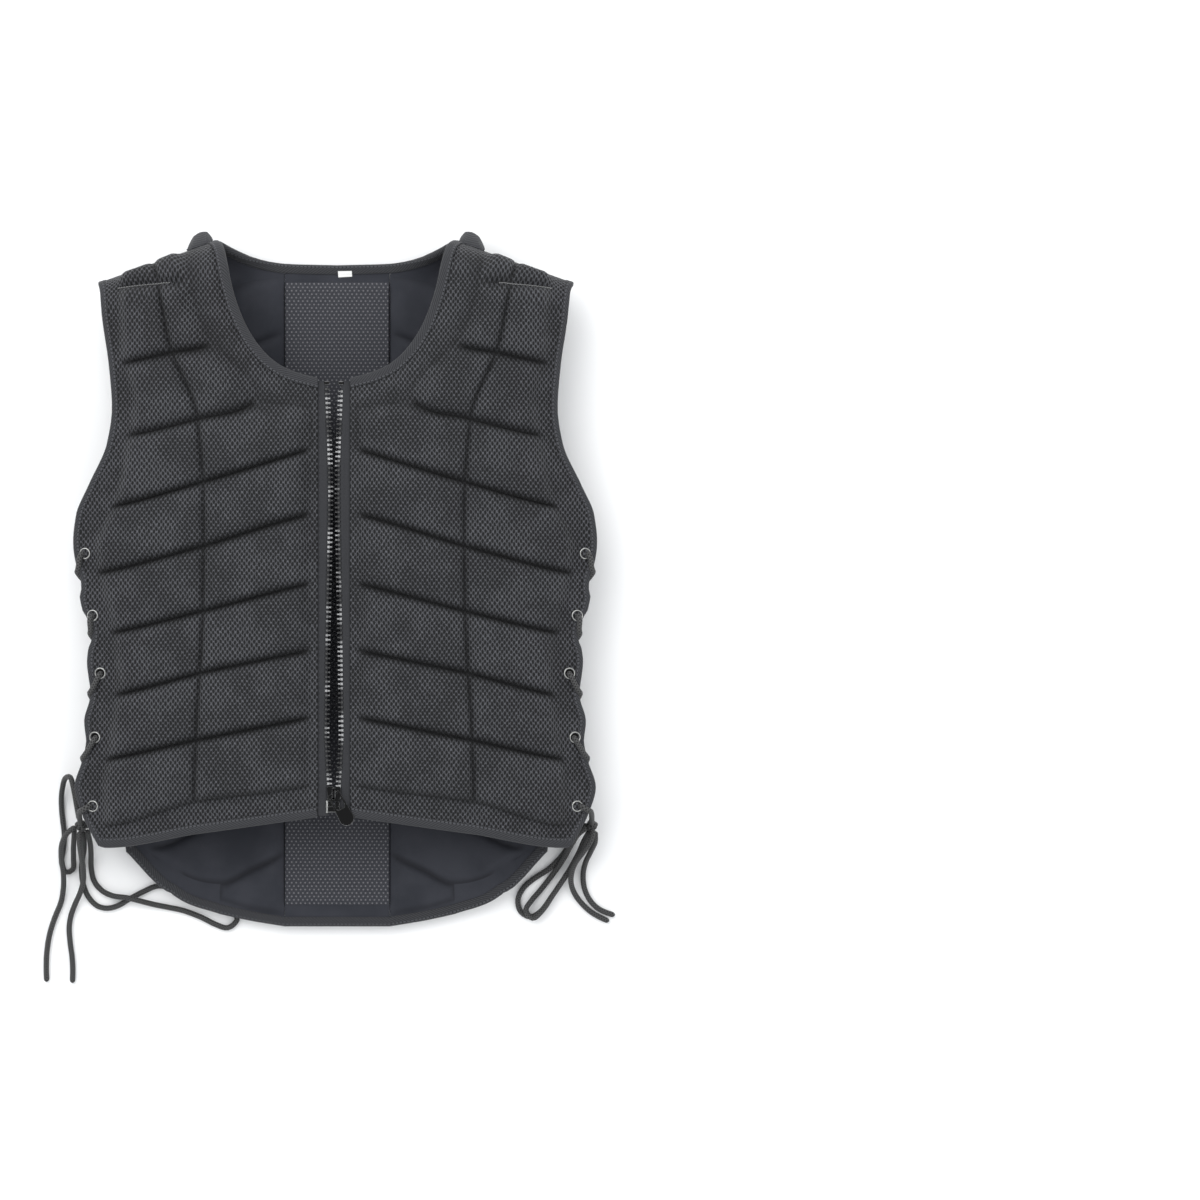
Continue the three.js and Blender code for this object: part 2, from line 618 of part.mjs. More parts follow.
// The back half on +X
const BACK_TOP_ROW = BACK_LINES.length - 1;
const MERGED_ROWS = 3; // below this line one pad spans both columns
const SPINE_TOP_ROW = 11; // above this line the column beside the spine has no pad
const back = {
  lines: BACK_LINES,
  top: backTop,
  columns: [
    () => SPINE_HALF + CLEAR,
    outAt(BACK_MIDDLE),
    outAt(BACK_DIVIDER),
    outAt(BACK_PAD_OUTER),
    outAt(BACK_SIDE_EDGE),
  ],
  across: [
    ...fineLines(3, [1], [1]).slice(0, -1),
    { at: 3.5, step: 0 },
    { at: 4, step: 0 },
  ],
  rows: [
    { at: 0, step: 0 },
    ...fineLines(BACK_TOP_ROW - 1, [], [BACK_TOP_ROW - 1.5])
      .filter((line) => line.at >= 1)
      .slice(1, -1),
    { at: BACK_TOP_ROW, step: 0 },
  ],
  padded(line, row) {
    const level = row.at + row.step / 2;
    if (level < 1) return false;
    const divider = line.at === 2 && !line.step;
    if (level < MERGED_ROWS - 1) return Boolean(row.top && line.top && line.at + line.step / 2 < 2);
    if (level < MERGED_ROWS) return Boolean(row.top && (line.top || divider));
    if (level > SPINE_TOP_ROW && line.at <= 1) return Boolean(row.top && line.at === 1);
    return Boolean(line.top && row.top);
  },
};
const backGrid = panelGrid(back);
const backLast = back.across.length - 1;
const neckCornerIndex = back.across.findIndex((line) => line.at === 1);
const backSide = insetBorder(backGrid.map((row) => row[backLast]), 1);
const backHem = insetBorder(backGrid[0], 1, true);
const backNeck = insetBorder(backGrid.at(-1).slice(0, neckCornerIndex + 1), -1, true);
settle(backGrid, backTop, neckCornerIndex + 1);

// The spine pad
function spineGrid() {
  const bevel = PAD_BEVEL / BODY_LENGTH;
  const rows = [
    { up: SPINE_LINES[0] },
    { up: SPINE_LINES[1] },
    { up: SPINE_LINES[1] + bevel, top: true },
    { up: (backTop(0) - FOLD_REACH) / BODY_LENGTH, top: true },
    { up: SPINE_LINES[2] - bevel, top: true },
    { up: SPINE_LINES[2] },
    { up: SPINE_LINES[3] },
  ];
  const columns = [-SPINE_HALF, -SPINE_HALF + PAD_BEVEL, SPINE_HALF - PAD_BEVEL, SPINE_HALF];
  return rows.map((row) => columns.map((x, c) => ({
    x,
    a: Math.min(row.up * BODY_LENGTH, backTop(x)),
    rise: row.top && c > 0 && c < columns.length - 1 ? 1 : 0,
    nudge: [],
  })));
}

const spine = spineGrid();
const spineHem = insetBorder(spine[0], 1);
const spineNeck = insetBorder(spine.at(-1), -1);
settle(spine, backTop, spine[0].length);

// Tape round an edge: a bead just beyond the wall's rim
function beadRing({ side, place, out, turned }) {
  const ahead = directionAt(side, place.x, place.a, out.x, out.y);
  const normal = normalAt(side, place.x, place.a);
  const high = WALL / 2 + BINDING_PROUD;
  const section = [[0, -1], [0.6, -1], [1, -0.4], [1, 0.4], [0.6, 1], [0, 1]];
  const ring = section.map(([t, n]) => side.wall(place.x, place.a)
    .addScaledVector(ahead, BINDING_GAP + t * BINDING)
    .addScaledVector(normal, n * high));
  ring.turned = turned;
  return ring;
}

function border(side, line, turned = false) {
  return line.map(({ place, out }) => ({ side, place, out, turned }));
}

// Leaves out rings whose corners lie almost on the straight lines between their neighbours
function thinned(rings, within) {
  const keep = [0];
  for (let i = 1; i + 1 < rings.length; i += 1) {
    const from = keep.at(-1);
    const off = rings.slice(from + 1, i + 1).flatMap((ring) => ring.map((corner, k) => {
      const step = corner.clone().sub(rings[from][k]);
      const reach = rings[i + 1][k].clone().sub(rings[from][k]);
      return step.addScaledVector(reach, -step.dot(reach) / reach.lengthSq()).length();
    }));
    if (Math.max(...off) > within) keep.push(i);
  }
  return [...keep, rings.length - 1].map((i) => rings[i]);
}

const THIN = CLEAR / 4;

function bead(stops) {
  return sweep(thinned(stops.map(beadRing), THIN));
}

function flipStop({ side, place, out }) {
  return { side, place: { ...place, x: -place.x }, out: new THREE.Vector2(-out.x, out.y), turned: false };
}

const vest = new THREE.Group();

function addPair(name, geometry, ...look) {
  vest.add(named(name.replace('SIDE', 'right'), geometry, ...look));
  vest.add(named(name.replace('SIDE', 'left'), mirrored(geometry), ...look));
}

// Eyelets: each has its place on the wall, and the wall has a hole under it
function eyeletPlaces(side, edge, ups) {
  const rim = edge.map(({ place }) => ({ x: place.x, a: place.a }));
  return ups.map((up) => {
    const a = up * BODY_LENGTH;
    const x = readTable(rim, a, 'a', 'x') + BINDING + CLEAR - EYELET_INSET;
    return { side, x, a, rim };
  });
}

const frontEyelets = eyeletPlaces(FRONT, frontSide, FRONT_EYELETS);
const backEyelets = eyeletPlaces(BACK, backSide, BACK_EYELETS);

function stoodOn(geometry, eyelet, height) {
  const up = new THREE.Vector3(0, 0, 1);
  const normal = normalAt(eyelet.side, eyelet.x, eyelet.a);
  geometry.applyQuaternion(new THREE.Quaternion().setFromUnitVectors(up, normal));
  const centre = offWall(eyelet.side, eyelet.x, eyelet.a, height);
  return geometry.translate(centre.x, centre.y, centre.z);
}

function pierced(geometry, eyelets) {
  let solid = toSolid(geometry);
  for (const eyelet of eyelets) {
    const drill = new THREE.CylinderGeometry(EYELET_HOLE, EYELET_HOLE, WALL * 4, EYELET_SIDES - 2);
    drill.rotateX(Math.PI / 2);
    solid = solid.subtract(toSolid(stoodOn(drill, eyelet, 0)));
  }
  return fromSolid(solid);
}

function ringGeometry(eyelet) {
  const profile = [
    [EYELET_HOLE, 0], [EYELET_OUTER, 0], [EYELET_CREST, EYELET_THICK], [EYELET_HOLE, 0],
  ].map(([r, h]) => new THREE.Vector2(r, h));
  const ring = new THREE.LatheGeometry(profile, EYELET_SIDES);
  ring.rotateX(Math.PI / 2);
  return stoodOn(ring, eyelet, WALL / 2 + CLEAR);
}

function rowsAt(fine, mains) {
  return mains.map((at) => fine.findIndex((line) => line.at === at && !line.step));
}

function buildPanels() {
  const frontRows = rowsAt(front.rows, [0, 1, 3, 5, FRONT_CORNER_ROW, 9, 10, SHOULDER_ROW - 1.5, SHOULDER_ROW]);
  const frontColumns = [0, 2, front.across.length - 3, frontLast];
  const frontShape = panelGeometry(FRONT, frontGrid, frontRows, frontColumns, PAD_INSIDE);
  addPair('front_SIDE_panel', pierced(frontShape, frontEyelets), COLOURS.mesh);
  const backRows = rowsAt(back.rows, [0, 1, 3, 5, 7, 9, 10, SPINE_TOP_ROW, BACK_TOP_ROW - 1.5, BACK_TOP_ROW]);
  const backColumns = [0, 1, neckCornerIndex, back.across.length - 4, backLast];
  const backShape = panelGeometry(BACK, backGrid, backRows, backColumns, PAD_INSIDE);
  addPair('back_SIDE_panel', pierced(backShape, backEyelets), COLOURS.mesh);
  const spineRows = spine.map((row, r) => r);
  const spineShape = panelGeometry(BACK, spine, spineRows, [0, 1, 2, 3], 0);
  vest.add(named('spine_panel', spineShape, COLOURS.mesh));
}

function buildLining() {
  const half = SPINE_HALF - CLEAR;
  const start = (backTop(0) - FOLD_REACH) / BODY_LENGTH;
  const rings = [LINING_SPAN.from, start, mix(start, LINING_SPAN.to, 0.5), LINING_SPAN.to].map((up) => {
    const lift = -WALL / 2 - CLEAR;
    const corners = [[-half, lift], [half, lift], [half, lift - LINING_THICK], [-half, lift - LINING_THICK]];
    return corners.map(([x, height]) => offWall(BACK, x, up * BODY_LENGTH, height));
  });
  vest.add(named('spine_lining', sweep(rings), COLOURS.lining));
}

function buildBindings() {
  const look = [COLOURS.binding, 0.8];
  const frontSideStops = border(FRONT, frontSide, true);
  const backSideStops = border(BACK, backSide);
  addPair('side_binding_SIDE', bead([
    ...frontSideStops, ...backSideStops.slice(0, -1).reverse(),
  ]), ...look);
  addPair('front_hem_binding_SIDE', bead(border(FRONT, frontHem)), ...look);
  const backHalf = border(BACK, backHem);
  const spineStops = border(BACK, spineHem);
  vest.add(named('back_hem_binding', bead([
    ...backHalf.map(flipStop).reverse(), ...spineStops.slice(1, -1), ...backHalf,
  ]), ...look));
  const neckFront = border(FRONT, frontNeck);
  const neckBack = border(BACK, backNeck, true).slice(0, -1);
  const half = [...neckBack, ...neckFront.reverse()];
  const middle = border(BACK, spineNeck).slice(1, -1);
  vest.add(named('neck_binding', bead([...half.map(flipStop).reverse(), ...middle, ...half]), ...look));
}

function buildEyelets() {
  const rows = { front: frontEyelets, back: backEyelets };
  for (const [face, places] of Object.entries(rows)) {
    places.forEach((eyelet, i) => {
      addPair(`eyelet_${face}_SIDE_${i + 1}`, ringGeometry(eyelet), COLOURS.metal, 0.35, 0.9);
    });
  }
}

// Zip: y runs from the slider up to the neck's corner
const neckCornerY = FRONT_LINES[FRONT_CORNER_ROW].edge * BODY_LENGTH - BINDING;
const sliderY = SLIDER.up * BODY_LENGTH;
const chainStart = sliderY + SLIDER.length / 2 + CLEAR;

function gapAt(y) {
  const along = (y - chainStart) / (neckCornerY - chainStart);
  return readTable(CHAIN_GAPS, along, 'along', 'gap') * ZIP_GAP * 0.5;
}

function boxRing(xFrom, xTo, y, zFrom, zTo) {
  return [[xFrom, zFrom], [xTo, zFrom], [xTo, zTo], [xFrom, zTo]].map(([x, z]) => new THREE.Vector3(x, y, z));
}

function buildZip() {
  const chainEnd = neckCornerY - STOP_LENGTH - CLEAR;
  const ys = CHAIN_GAPS.map((row) => mix(chainStart, neckCornerY, row.along));
  const chainYs = [...ys.slice(0, -1), chainEnd];
  const [low, high] = [FRONT_CROWN - CHAIN_THICK / 2, FRONT_CROWN + CHAIN_THICK / 2];
  addPair('zip_chain_SIDE', sweep(chainYs.map(
    (y) => boxRing(gapAt(y), gapAt(y) + CHAIN_WIDTH, y, low, high),
  )), COLOURS.gunmetal, 0.4, 0.8);
  const hemY = frontHem[0].place.a;
  addPair('zip_tape_SIDE', sweep([hemY, ...ys].map((y) => boxRing(
    gapAt(y) + CHAIN_WIDTH + CLEAR, ZIP_EDGE - CLEAR, y,
    FRONT_CROWN - TAPE_THICK / 2, FRONT_CROWN + TAPE_THICK / 2,
  ))), COLOURS.binding, 0.8);
  const stopFrom = neckCornerY - STOP_LENGTH;
  addPair('zip_top_stop_SIDE', sweep([stopFrom, neckCornerY].map(
    (y) => boxRing(gapAt(neckCornerY), gapAt(neckCornerY) + CHAIN_WIDTH, y, low, high),
  )), COLOURS.gunmetal, 0.4, 0.8);
  const box = new THREE.BoxGeometry(BOX.width, BOX.length, BOX.thick);
  const boxY = sliderY - SLIDER.length / 2 - CLEAR - BOX.length / 2;
  box.translate(0, boxY, FRONT_CROWN);
  vest.add(named('zip_box', box, COLOURS.metal, 0.35, 0.9));
}

// Slider with a bridge over the pull's crossbar
const sliderTop = FRONT_CROWN + SLIDER.above;
const crossbarSwing = Math.hypot(PULL.thick, PULL.bar) / 2 + CLEAR;
const crossbarZ = sliderTop + crossbarSwing;

function buildSlider() {
  const body = new THREE.BoxGeometry(SLIDER.width, SLIDER.length, SLIDER.below + SLIDER.above);
  body.translate(0, 0, (SLIDER.above - SLIDER.below) / 2);
  const barBase = crossbarZ + crossbarSwing - FRONT_CROWN;
  const yaw = THREE.MathUtils.degToRad(PULL_YAW);
  const footGap = (BRIDGE.width / 2) * Math.tan(yaw) + crossbarSwing / Math.cos(yaw);
  const length = 2 * (footGap + BRIDGE.foot);
  let solid = toSolid(body);
  const bar = new THREE.BoxGeometry(BRIDGE.width, length, BRIDGE.bar);
  bar.translate(0, 0, barBase + BRIDGE.bar / 2);
  solid = solid.add(toSolid(bar));
  for (const end of [-1, 1]) {
    const rooted = SLIDER.above / 2;
    const foot = new THREE.BoxGeometry(BRIDGE.width, BRIDGE.foot, barBase + BRIDGE.bar - rooted);
    foot.translate(0, end * (footGap + BRIDGE.foot / 2), (barBase + BRIDGE.bar + rooted) / 2);
    solid = solid.add(toSolid(foot));
  }
  const mesh = named('zip_slider', fromSolid(solid), COLOURS.gunmetal, 0.35, 0.9);
  mesh.position.set(0, sliderY, FRONT_CROWN);
  vest.add(mesh);
}

function buildPull() {
  const shape = new THREE.Shape();
  const [top, tip] = [PULL.bar / 2, PULL.bar / 2 - PULL.length];
  const bend = tip + PULL.width / 2;
  shape.moveTo(-PULL.neck / 2 - CLEAR, top);
  shape.lineTo(-PULL.width / 2, bend);
  shape.absarc(0, bend, PULL.width / 2, Math.PI, 2 * Math.PI, false);
  shape.lineTo(PULL.neck / 2 + CLEAR, top);
  const window = new THREE.Path();
  const [side, low] = [PULL.windowWidth / 2, -PULL.bar / 2 - PULL.window];
  window.moveTo(-side, -PULL.bar / 2);
  window.lineTo(side, -PULL.bar / 2);
  window.lineTo(side, low);
  window.lineTo(-side, low);
  shape.holes.push(window);
  const geometry = new THREE.ExtrudeGeometry(shape, {
    depth: PULL.thick, bevelEnabled: false, curveSegments: 10,
  });
  geometry.translate(0, 0, -PULL.thick / 2);
  const mesh = named('zip_pull', geometry, COLOURS.gunmetal, 0.35, 0.9);
  mesh.rotation.set(THREE.MathUtils.degToRad(PULL_DROP), 0, 0);
  const turned = new THREE.Group();
  turned.rotation.z = THREE.MathUtils.degToRad(PULL_YAW);
  turned.position.set(0, sliderY, crossbarZ);
  turned.add(mesh);
  vest.add(turned);
}

function buildHangingLoops() {
  const section = (x, rise) => {
    const top = shoulderTop(x) + WALL / 2 + CLEAR + rise;
    return [x, top];
  };
  const arch = [[0, 0], [0.25, 0.75], [0.5, 1], [0.75, 0.75], [1, 0]];
  const line = arch.map(([along, rise]) => section(NECK_HALF + BINDING + 2 + along * LOOP_SPAN, rise * LOOP_RISE));
  const rings = line.map(([x, y], i) => {
    const [a, b] = [line[Math.max(i - 1, 0)], line[Math.min(i + 1, line.length - 1)]];
    const across = new THREE.Vector2(a[1] - b[1], b[0] - a[0]).normalize().multiplyScalar(LOOP_THICK);
    const [low, high] = [FOLD_HEIGHT - LOOP_WIDTH / 2, FOLD_HEIGHT + LOOP_WIDTH / 2];
    return [[0, low], [1, low], [1, high], [0, high]].map(
      ([t, z]) => new THREE.Vector3(x + across.x * t, y + across.y * t, z),
    );
  });
  addPair('hanging_loop_SIDE', sweep(rings), COLOURS.binding, 0.8);
}

function buildLabel() {
  const [x, a] = [LABEL.out * CHEST_HALF, LABEL.up * BODY_LENGTH];
  const plate = new THREE.BoxGeometry(LABEL.width, LABEL.length, LABEL.thick);
  const height = -WALL / 2 - CLEAR - LABEL.thick / 2;
  vest.add(named('neck_label', stoodOn(plate, { side: BACK, x, a }, height), COLOURS.label, 0.9));
}

// A lace's place near an eyelet: out towards the edge, along the body, and off the wall
function laceStop(eyelet, out, along, height) {
  return eyelet.side.wall(eyelet.x, eyelet.a)
    .addScaledVector(directionAt(eyelet.side, eyelet.x, eyelet.a, 1, 0), out)
    .addScaledVector(normalAt(eyelet.side, eyelet.x, eyelet.a), height)
    .add(new THREE.Vector3(0, along, 0));
}

// Out of an eyelet on the outside and over the bound edge, towards a height y
function leaving(eyelet, y) {
  const lean = (y - eyelet.a) * LACE_LEAN;
  const rimThere = readTable(eyelet.rim, eyelet.a + lean * 2, 'a', 'x') + BINDING + CLEAR;
  const edge = Math.max(EYELET_INSET, rimThere - eyelet.x) + LACE / 3;
  return [
    laceStop(eyelet, 0, 0, LACE_STAND),
    laceStop(eyelet, LACE / 2, lean / 4, LACE_STAND + LACE * 0.72),
    laceStop(eyelet, edge, lean, LACE_STAND + LACE * 0.6),
    laceStop(eyelet, edge + LACE, lean * 1.6, -CLEAR),
  ];
}

// Under the other edge and up through its eyelet from inside
function arriving(eyelet, y) {
  const lean = (y - eyelet.a) * LACE_LEAN;
  return [
    laceStop(eyelet, EYELET_INSET * 0.9, lean, -LACE_STAND - LACE * 0.62),
    laceStop(eyelet, LACE / 2, lean / 4, -LACE_STAND - LACE * 0.62),
    laceStop(eyelet, 0, 0, -LACE_STAND),
  ];
}

const knot = new THREE.Vector3(KNOT.x, KNOT.y, KNOT.z);

function laceHalf(order) {
  const points = [];
  for (let i = 0; i + 1 < order.length; i += 1) {
    points.push(...leaving(order[i], order[i + 1].a), ...arriving(order[i + 1], order[i].a));
  }
  points.push(...leaving(order.at(-1), KNOT.y));
  const seat = points.at(-1).clone().sub(knot).setLength(KNOT.radius + CLEAR).add(knot);
  points.push(seat);
  return points;
}

function lacePath() {
  const [f, b] = [frontEyelets, backEyelets];
  const first = laceHalf([f[0], b[1], f[2], b[3], f[4]]);
  const second = laceHalf([b[0], f[1], b[2], f[3], b[4]]);
  const bar = [f[0], b[0]].map((eyelet) => [
    laceStop(eyelet, 0, 0, -LACE_STAND),
    laceStop(eyelet, LACE / 2, LACE / 2, -LACE_STAND - LACE * 0.62),
  ]);
  return [...first.reverse(), ...bar[0], ...bar[1].reverse(), ...second];
}

// A round cord along straight steps, with mitred joints
function cordRings(points, radius, sides) {
  let normal = new THREE.Vector3(0, 0, 1);
  return points.map((point, i) => {
    const before = point.clone().sub(points[Math.max(i - 1, 0)]).normalize();
    const after = points[Math.min(i + 1, points.length - 1)].clone().sub(point).normalize();
    const along = before.clone().add(after).normalize();
    normal = normal.clone().addScaledVector(along, -normal.dot(along)).normalize();
    const across = along.clone().cross(normal);
    return Array.from({ length: sides }, (_, k) => {
      const turn = (2 * Math.PI * k) / sides;
      return point.clone().addScaledVector(normal, radius * Math.cos(turn))
        .addScaledVector(across, radius * Math.sin(turn));
    });
  });
}

function buildLaces() {
  const look = [COLOURS.lace, 0.75];
  addPair('side_lace_SIDE', sweep(cordRings(lacePath(), LACE / 2, 6)), ...look);
  const ball = mergeVertices(new THREE.IcosahedronGeometry(KNOT.radius, 1).deleteAttribute('normal')
    .deleteAttribute('uv'));
  ball.translate(knot.x, knot.y, knot.z);
  addPair('lace_knot_SIDE', ball, ...look);
  const circle = new THREE.Shape(Array.from({ length: CORD_SIDES }, (_, k) => {
    const turn = (2 * Math.PI * k) / CORD_SIDES;
    return new THREE.Vector2(LACE / 2 * Math.cos(turn), LACE / 2 * Math.sin(turn));
  }));
  for (const [name, route] of Object.entries(ROUTES)) {
    const curve = new THREE.CatmullRomCurve3(route.map((p) => new THREE.Vector3(...p)));
    const geometry = new THREE.ExtrudeGeometry(circle, {
      steps: Math.round(curve.getLength() / ROUTE_STEP), extrudePath: curve,
    });
    vest.add(named(name, geometry, ...look));
  }
}

buildPanels();
buildLining();
buildBindings();
buildEyelets();
buildZip();
buildSlider();
buildPull();
buildHangingLoops();
buildLabel();
buildLaces();

// The origin is under the middle of the garment, without its loose cords
function centreOnGarment() {
  const box = new THREE.Box3();
  vest.updateMatrixWorld(true);
  for (const piece of vest.children) {
    if (!(piece.name in ROUTES)) box.expandByObject(piece, true);
  }
  vest.position.set(0, -(box.min.y + box.max.y) / 2, 0);
}

centreOnGarment();

export default vest;
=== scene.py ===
"""Equestrian body protector laid flat on a pale floor. Lengths are millimetres from the middle of
the lowest hem until a mesh is made; shares are up of the body's length, out of half the chest."""

import math

import bpy
import numpy as np
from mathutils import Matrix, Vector


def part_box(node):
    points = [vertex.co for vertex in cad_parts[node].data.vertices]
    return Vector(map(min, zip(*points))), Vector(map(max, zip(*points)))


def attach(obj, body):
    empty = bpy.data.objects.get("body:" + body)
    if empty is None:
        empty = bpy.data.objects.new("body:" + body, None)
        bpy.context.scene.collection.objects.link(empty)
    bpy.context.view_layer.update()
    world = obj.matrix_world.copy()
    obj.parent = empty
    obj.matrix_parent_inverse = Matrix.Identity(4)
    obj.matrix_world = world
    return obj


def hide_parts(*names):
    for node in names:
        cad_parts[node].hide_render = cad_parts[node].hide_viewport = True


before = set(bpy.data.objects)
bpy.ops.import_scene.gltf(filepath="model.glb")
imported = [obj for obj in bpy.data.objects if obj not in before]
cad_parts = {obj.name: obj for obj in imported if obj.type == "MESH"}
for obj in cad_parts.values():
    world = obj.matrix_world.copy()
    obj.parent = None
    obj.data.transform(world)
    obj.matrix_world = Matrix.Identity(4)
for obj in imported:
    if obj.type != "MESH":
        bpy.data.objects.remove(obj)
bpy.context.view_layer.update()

BODY_LENGTH = 602
CHEST_HALF = 229
NECK_HALF = 103
SHOULDER_DROP = 45.234
WALL = 4
PAD_RISE = 9
PAD_INSIDE = 3
SEAM_MARGIN = 6
SPINE_HALF = 45.7
CLEAR = 0.3
FRONT_CROWN = 74
FRONT_SIDE = 50
CROWN_POWER = 2.2
FLAT_HALF = 90
BACK_LIFT = 29
FOLD_HEIGHT = 38
FOLD_REACH = 30
SPINE_FOLD = 0.25
BINDING = 2.9
EYELET_INSET = 9
EYELET_OUTER = 5.2
EYELET_HOLE = 3.4
EYELET_THICK = 1
LACE = 4.8
LACE_STAND = WALL / 2 + CLEAR + EYELET_THICK
LACE_LEAN = 0.24
LOOP_WIDTH = 11.5
LOOP_RISE = 9
LOOP_SPAN = 20
ZIP_EDGE = 14
CHAIN_WIDTH = 4.9
ZIP_GAP = 7.6
STOP_LENGTH = 3
SLIDER_UP = 0.1966
SLIDER_LENGTH = 13
SLIDER_WIDTH = 12
LINING_THICK = 2.5
LINING_SPAN = (0.032, 0.934)
KNOT = Vector((222, 89, 30))
KNOT_RADIUS = 6.2
SEAM_SET = WALL / 2 + PAD_RISE / 2
SIDES = (("right", 1), ("left", -1))


def table(heads, rows):
    return dict(zip(heads.split(), np.array(rows, float).T))


FRONT_NECK = table("up out", [
    (0.792, 0.06), (0.801, 0.147), (0.815, 0.219), (0.841, 0.287), (0.872, 0.336), (0.91, 0.374),
    (0.953, 0.402), (0.987, 0.427), (1, 0.45),
])
FRONT_PAD_INNER = table("up out", [
    (0.1, 0.083), (0.747, 0.087), (0.762, 0.287), (0.773, 0.291), (0.828, 0.415), (0.846, 0.464),
    (0.933, 0.545), (1, 0.566),
])
FRONT_DIVIDER = table("up out", [
    (0.1, 0.53), (0.273, 0.517), (0.459, 0.491), (0.595, 0.487), (0.739, 0.513), (0.839, 0.615),
    (0.918, 0.657), (0.971, 0.694),
])
FRONT_PAD_OUTER = table("up out", [
    (0.1, 0.86), (0.201, 0.885), (0.265, 0.862), (0.352, 0.832), (0.438, 0.853), (0.512, 0.9),
    (0.545, 0.912), (0.617, 0.838), (0.703, 0.79), (0.76, 0.768), (0.82, 0.81), (0.904, 0.823),
    (0.96, 0.838),
])
FRONT_SIDE_EDGE = table("up out", [
    (0.115, 0.885), (0.165, 0.955), (0.205, 0.985), (0.244, 0.955), (0.273, 0.94), (0.3, 0.942),
    (0.337, 0.92), (0.369, 0.922), (0.404, 0.922), (0.433, 0.943), (0.488, 0.974), (0.55, 0.996),
    (0.597, 0.979), (0.64, 0.93), (0.7, 0.86), (0.75, 0.841), (0.811, 0.853), (0.868, 0.875),
    (0.94, 0.9),
])
BACK_MIDDLE = table("up out", [
    (0, 0.328), (0.86, 0.33), (0.93, 0.36), (1, 0.45),
])
BACK_DIVIDER = table("up out", [
    (0, 0.449), (0.165, 0.438), (0.24, 0.457), (0.825, 0.457), (0.911, 0.49), (0.97, 0.589),
])
BACK_PAD_OUTER = table("up out", [
    (0.05, 0.634), (0.078, 0.6), (0.115, 0.717), (0.205, 0.725), (0.298, 0.715), (0.39, 0.735),
    (0.488, 0.79), (0.54, 0.8), (0.6, 0.765), (0.693, 0.636), (0.79, 0.626), (0.881, 0.672),
    (0.94, 0.775),
])
BACK_SIDE_EDGE = table("up out", [
    (0.11, 0.8), (0.16, 0.815), (0.25, 0.802), (0.343, 0.806), (0.43, 0.838), (0.488, 0.864),
    (0.54, 0.895), (0.597, 0.851), (0.65, 0.785), (0.705, 0.72), (0.765, 0.672), (0.82, 0.684),
    (0.878, 0.748), (0.93, 0.882), (0.94, 0.894),
])
BACK_NECK = table("out up", [
    (0, 0.97), (0.19, 0.972), (0.285, 0.977), (0.38, 0.987), (0.45, 1),
])
CHAIN_GAPS = table("along gap", [
    (0, 0.35), (0.12, 1), (0.35, 0.75), (0.62, 0.25), (0.72, 0.1), (0.8, 0.2), (1, 0.95),
])
FRONT_LINES = table("edge inner divider outer side", [
    (0.1635, 0.162, 0.138, 0.118, 0.1205), (0.211, 0.208, 0.184, 0.149, 0.151),
    (0.308, 0.306, 0.273, 0.244, 0.237), (0.404, 0.402, 0.369, 0.337, 0.33),
    (0.5, 0.498, 0.458, 0.426, 0.419), (0.599, 0.597, 0.551, 0.512, 0.505),
    (0.693, 0.69, 0.643, 0.607, 0.6), (0.792, 0.7475, 0.69, 0.66, 0.655),
    (0.815, 0.762, 0.733, 0.71, 0.707), (0.858, 0.842, 0.828, 0.8135, 0.811),
    (0.944, 0.933, 0.921, 0.9096, 0.904), (0.991, 0.976, 0.96, 0.94, 0.931),
    (1, 0.986, 0.971, 0.951, 0.94),
])
BACK_LINES = table("edge inner divider outer side", [
    (0.001, 0.009, 0.019, 0.05, 0.11), (0.019, 0.027, 0.04, 0.066, 0.122),
    (0.106, 0.083, 0.063, 0.079, 0.134), (0.197, 0.178, 0.159, 0.115, 0.15),
    (0.29, 0.271, 0.251, 0.205, 0.202), (0.383, 0.364, 0.343, 0.298, 0.295),
    (0.476, 0.458, 0.438, 0.392, 0.389), (0.571, 0.552, 0.531, 0.488, 0.485),
    (0.664, 0.647, 0.625, 0.584, 0.577), (0.763, 0.745, 0.723, 0.693, 0.689),
    (0.861, 0.841, 0.818, 0.793, 0.789), (0.944, 0.931, 0.911, 0.881, 0.878),
    (0.955, 0.985, 0.965, 0.938, 0.93), (0.972, 1, 0.975, 0.95, 0.94),
])
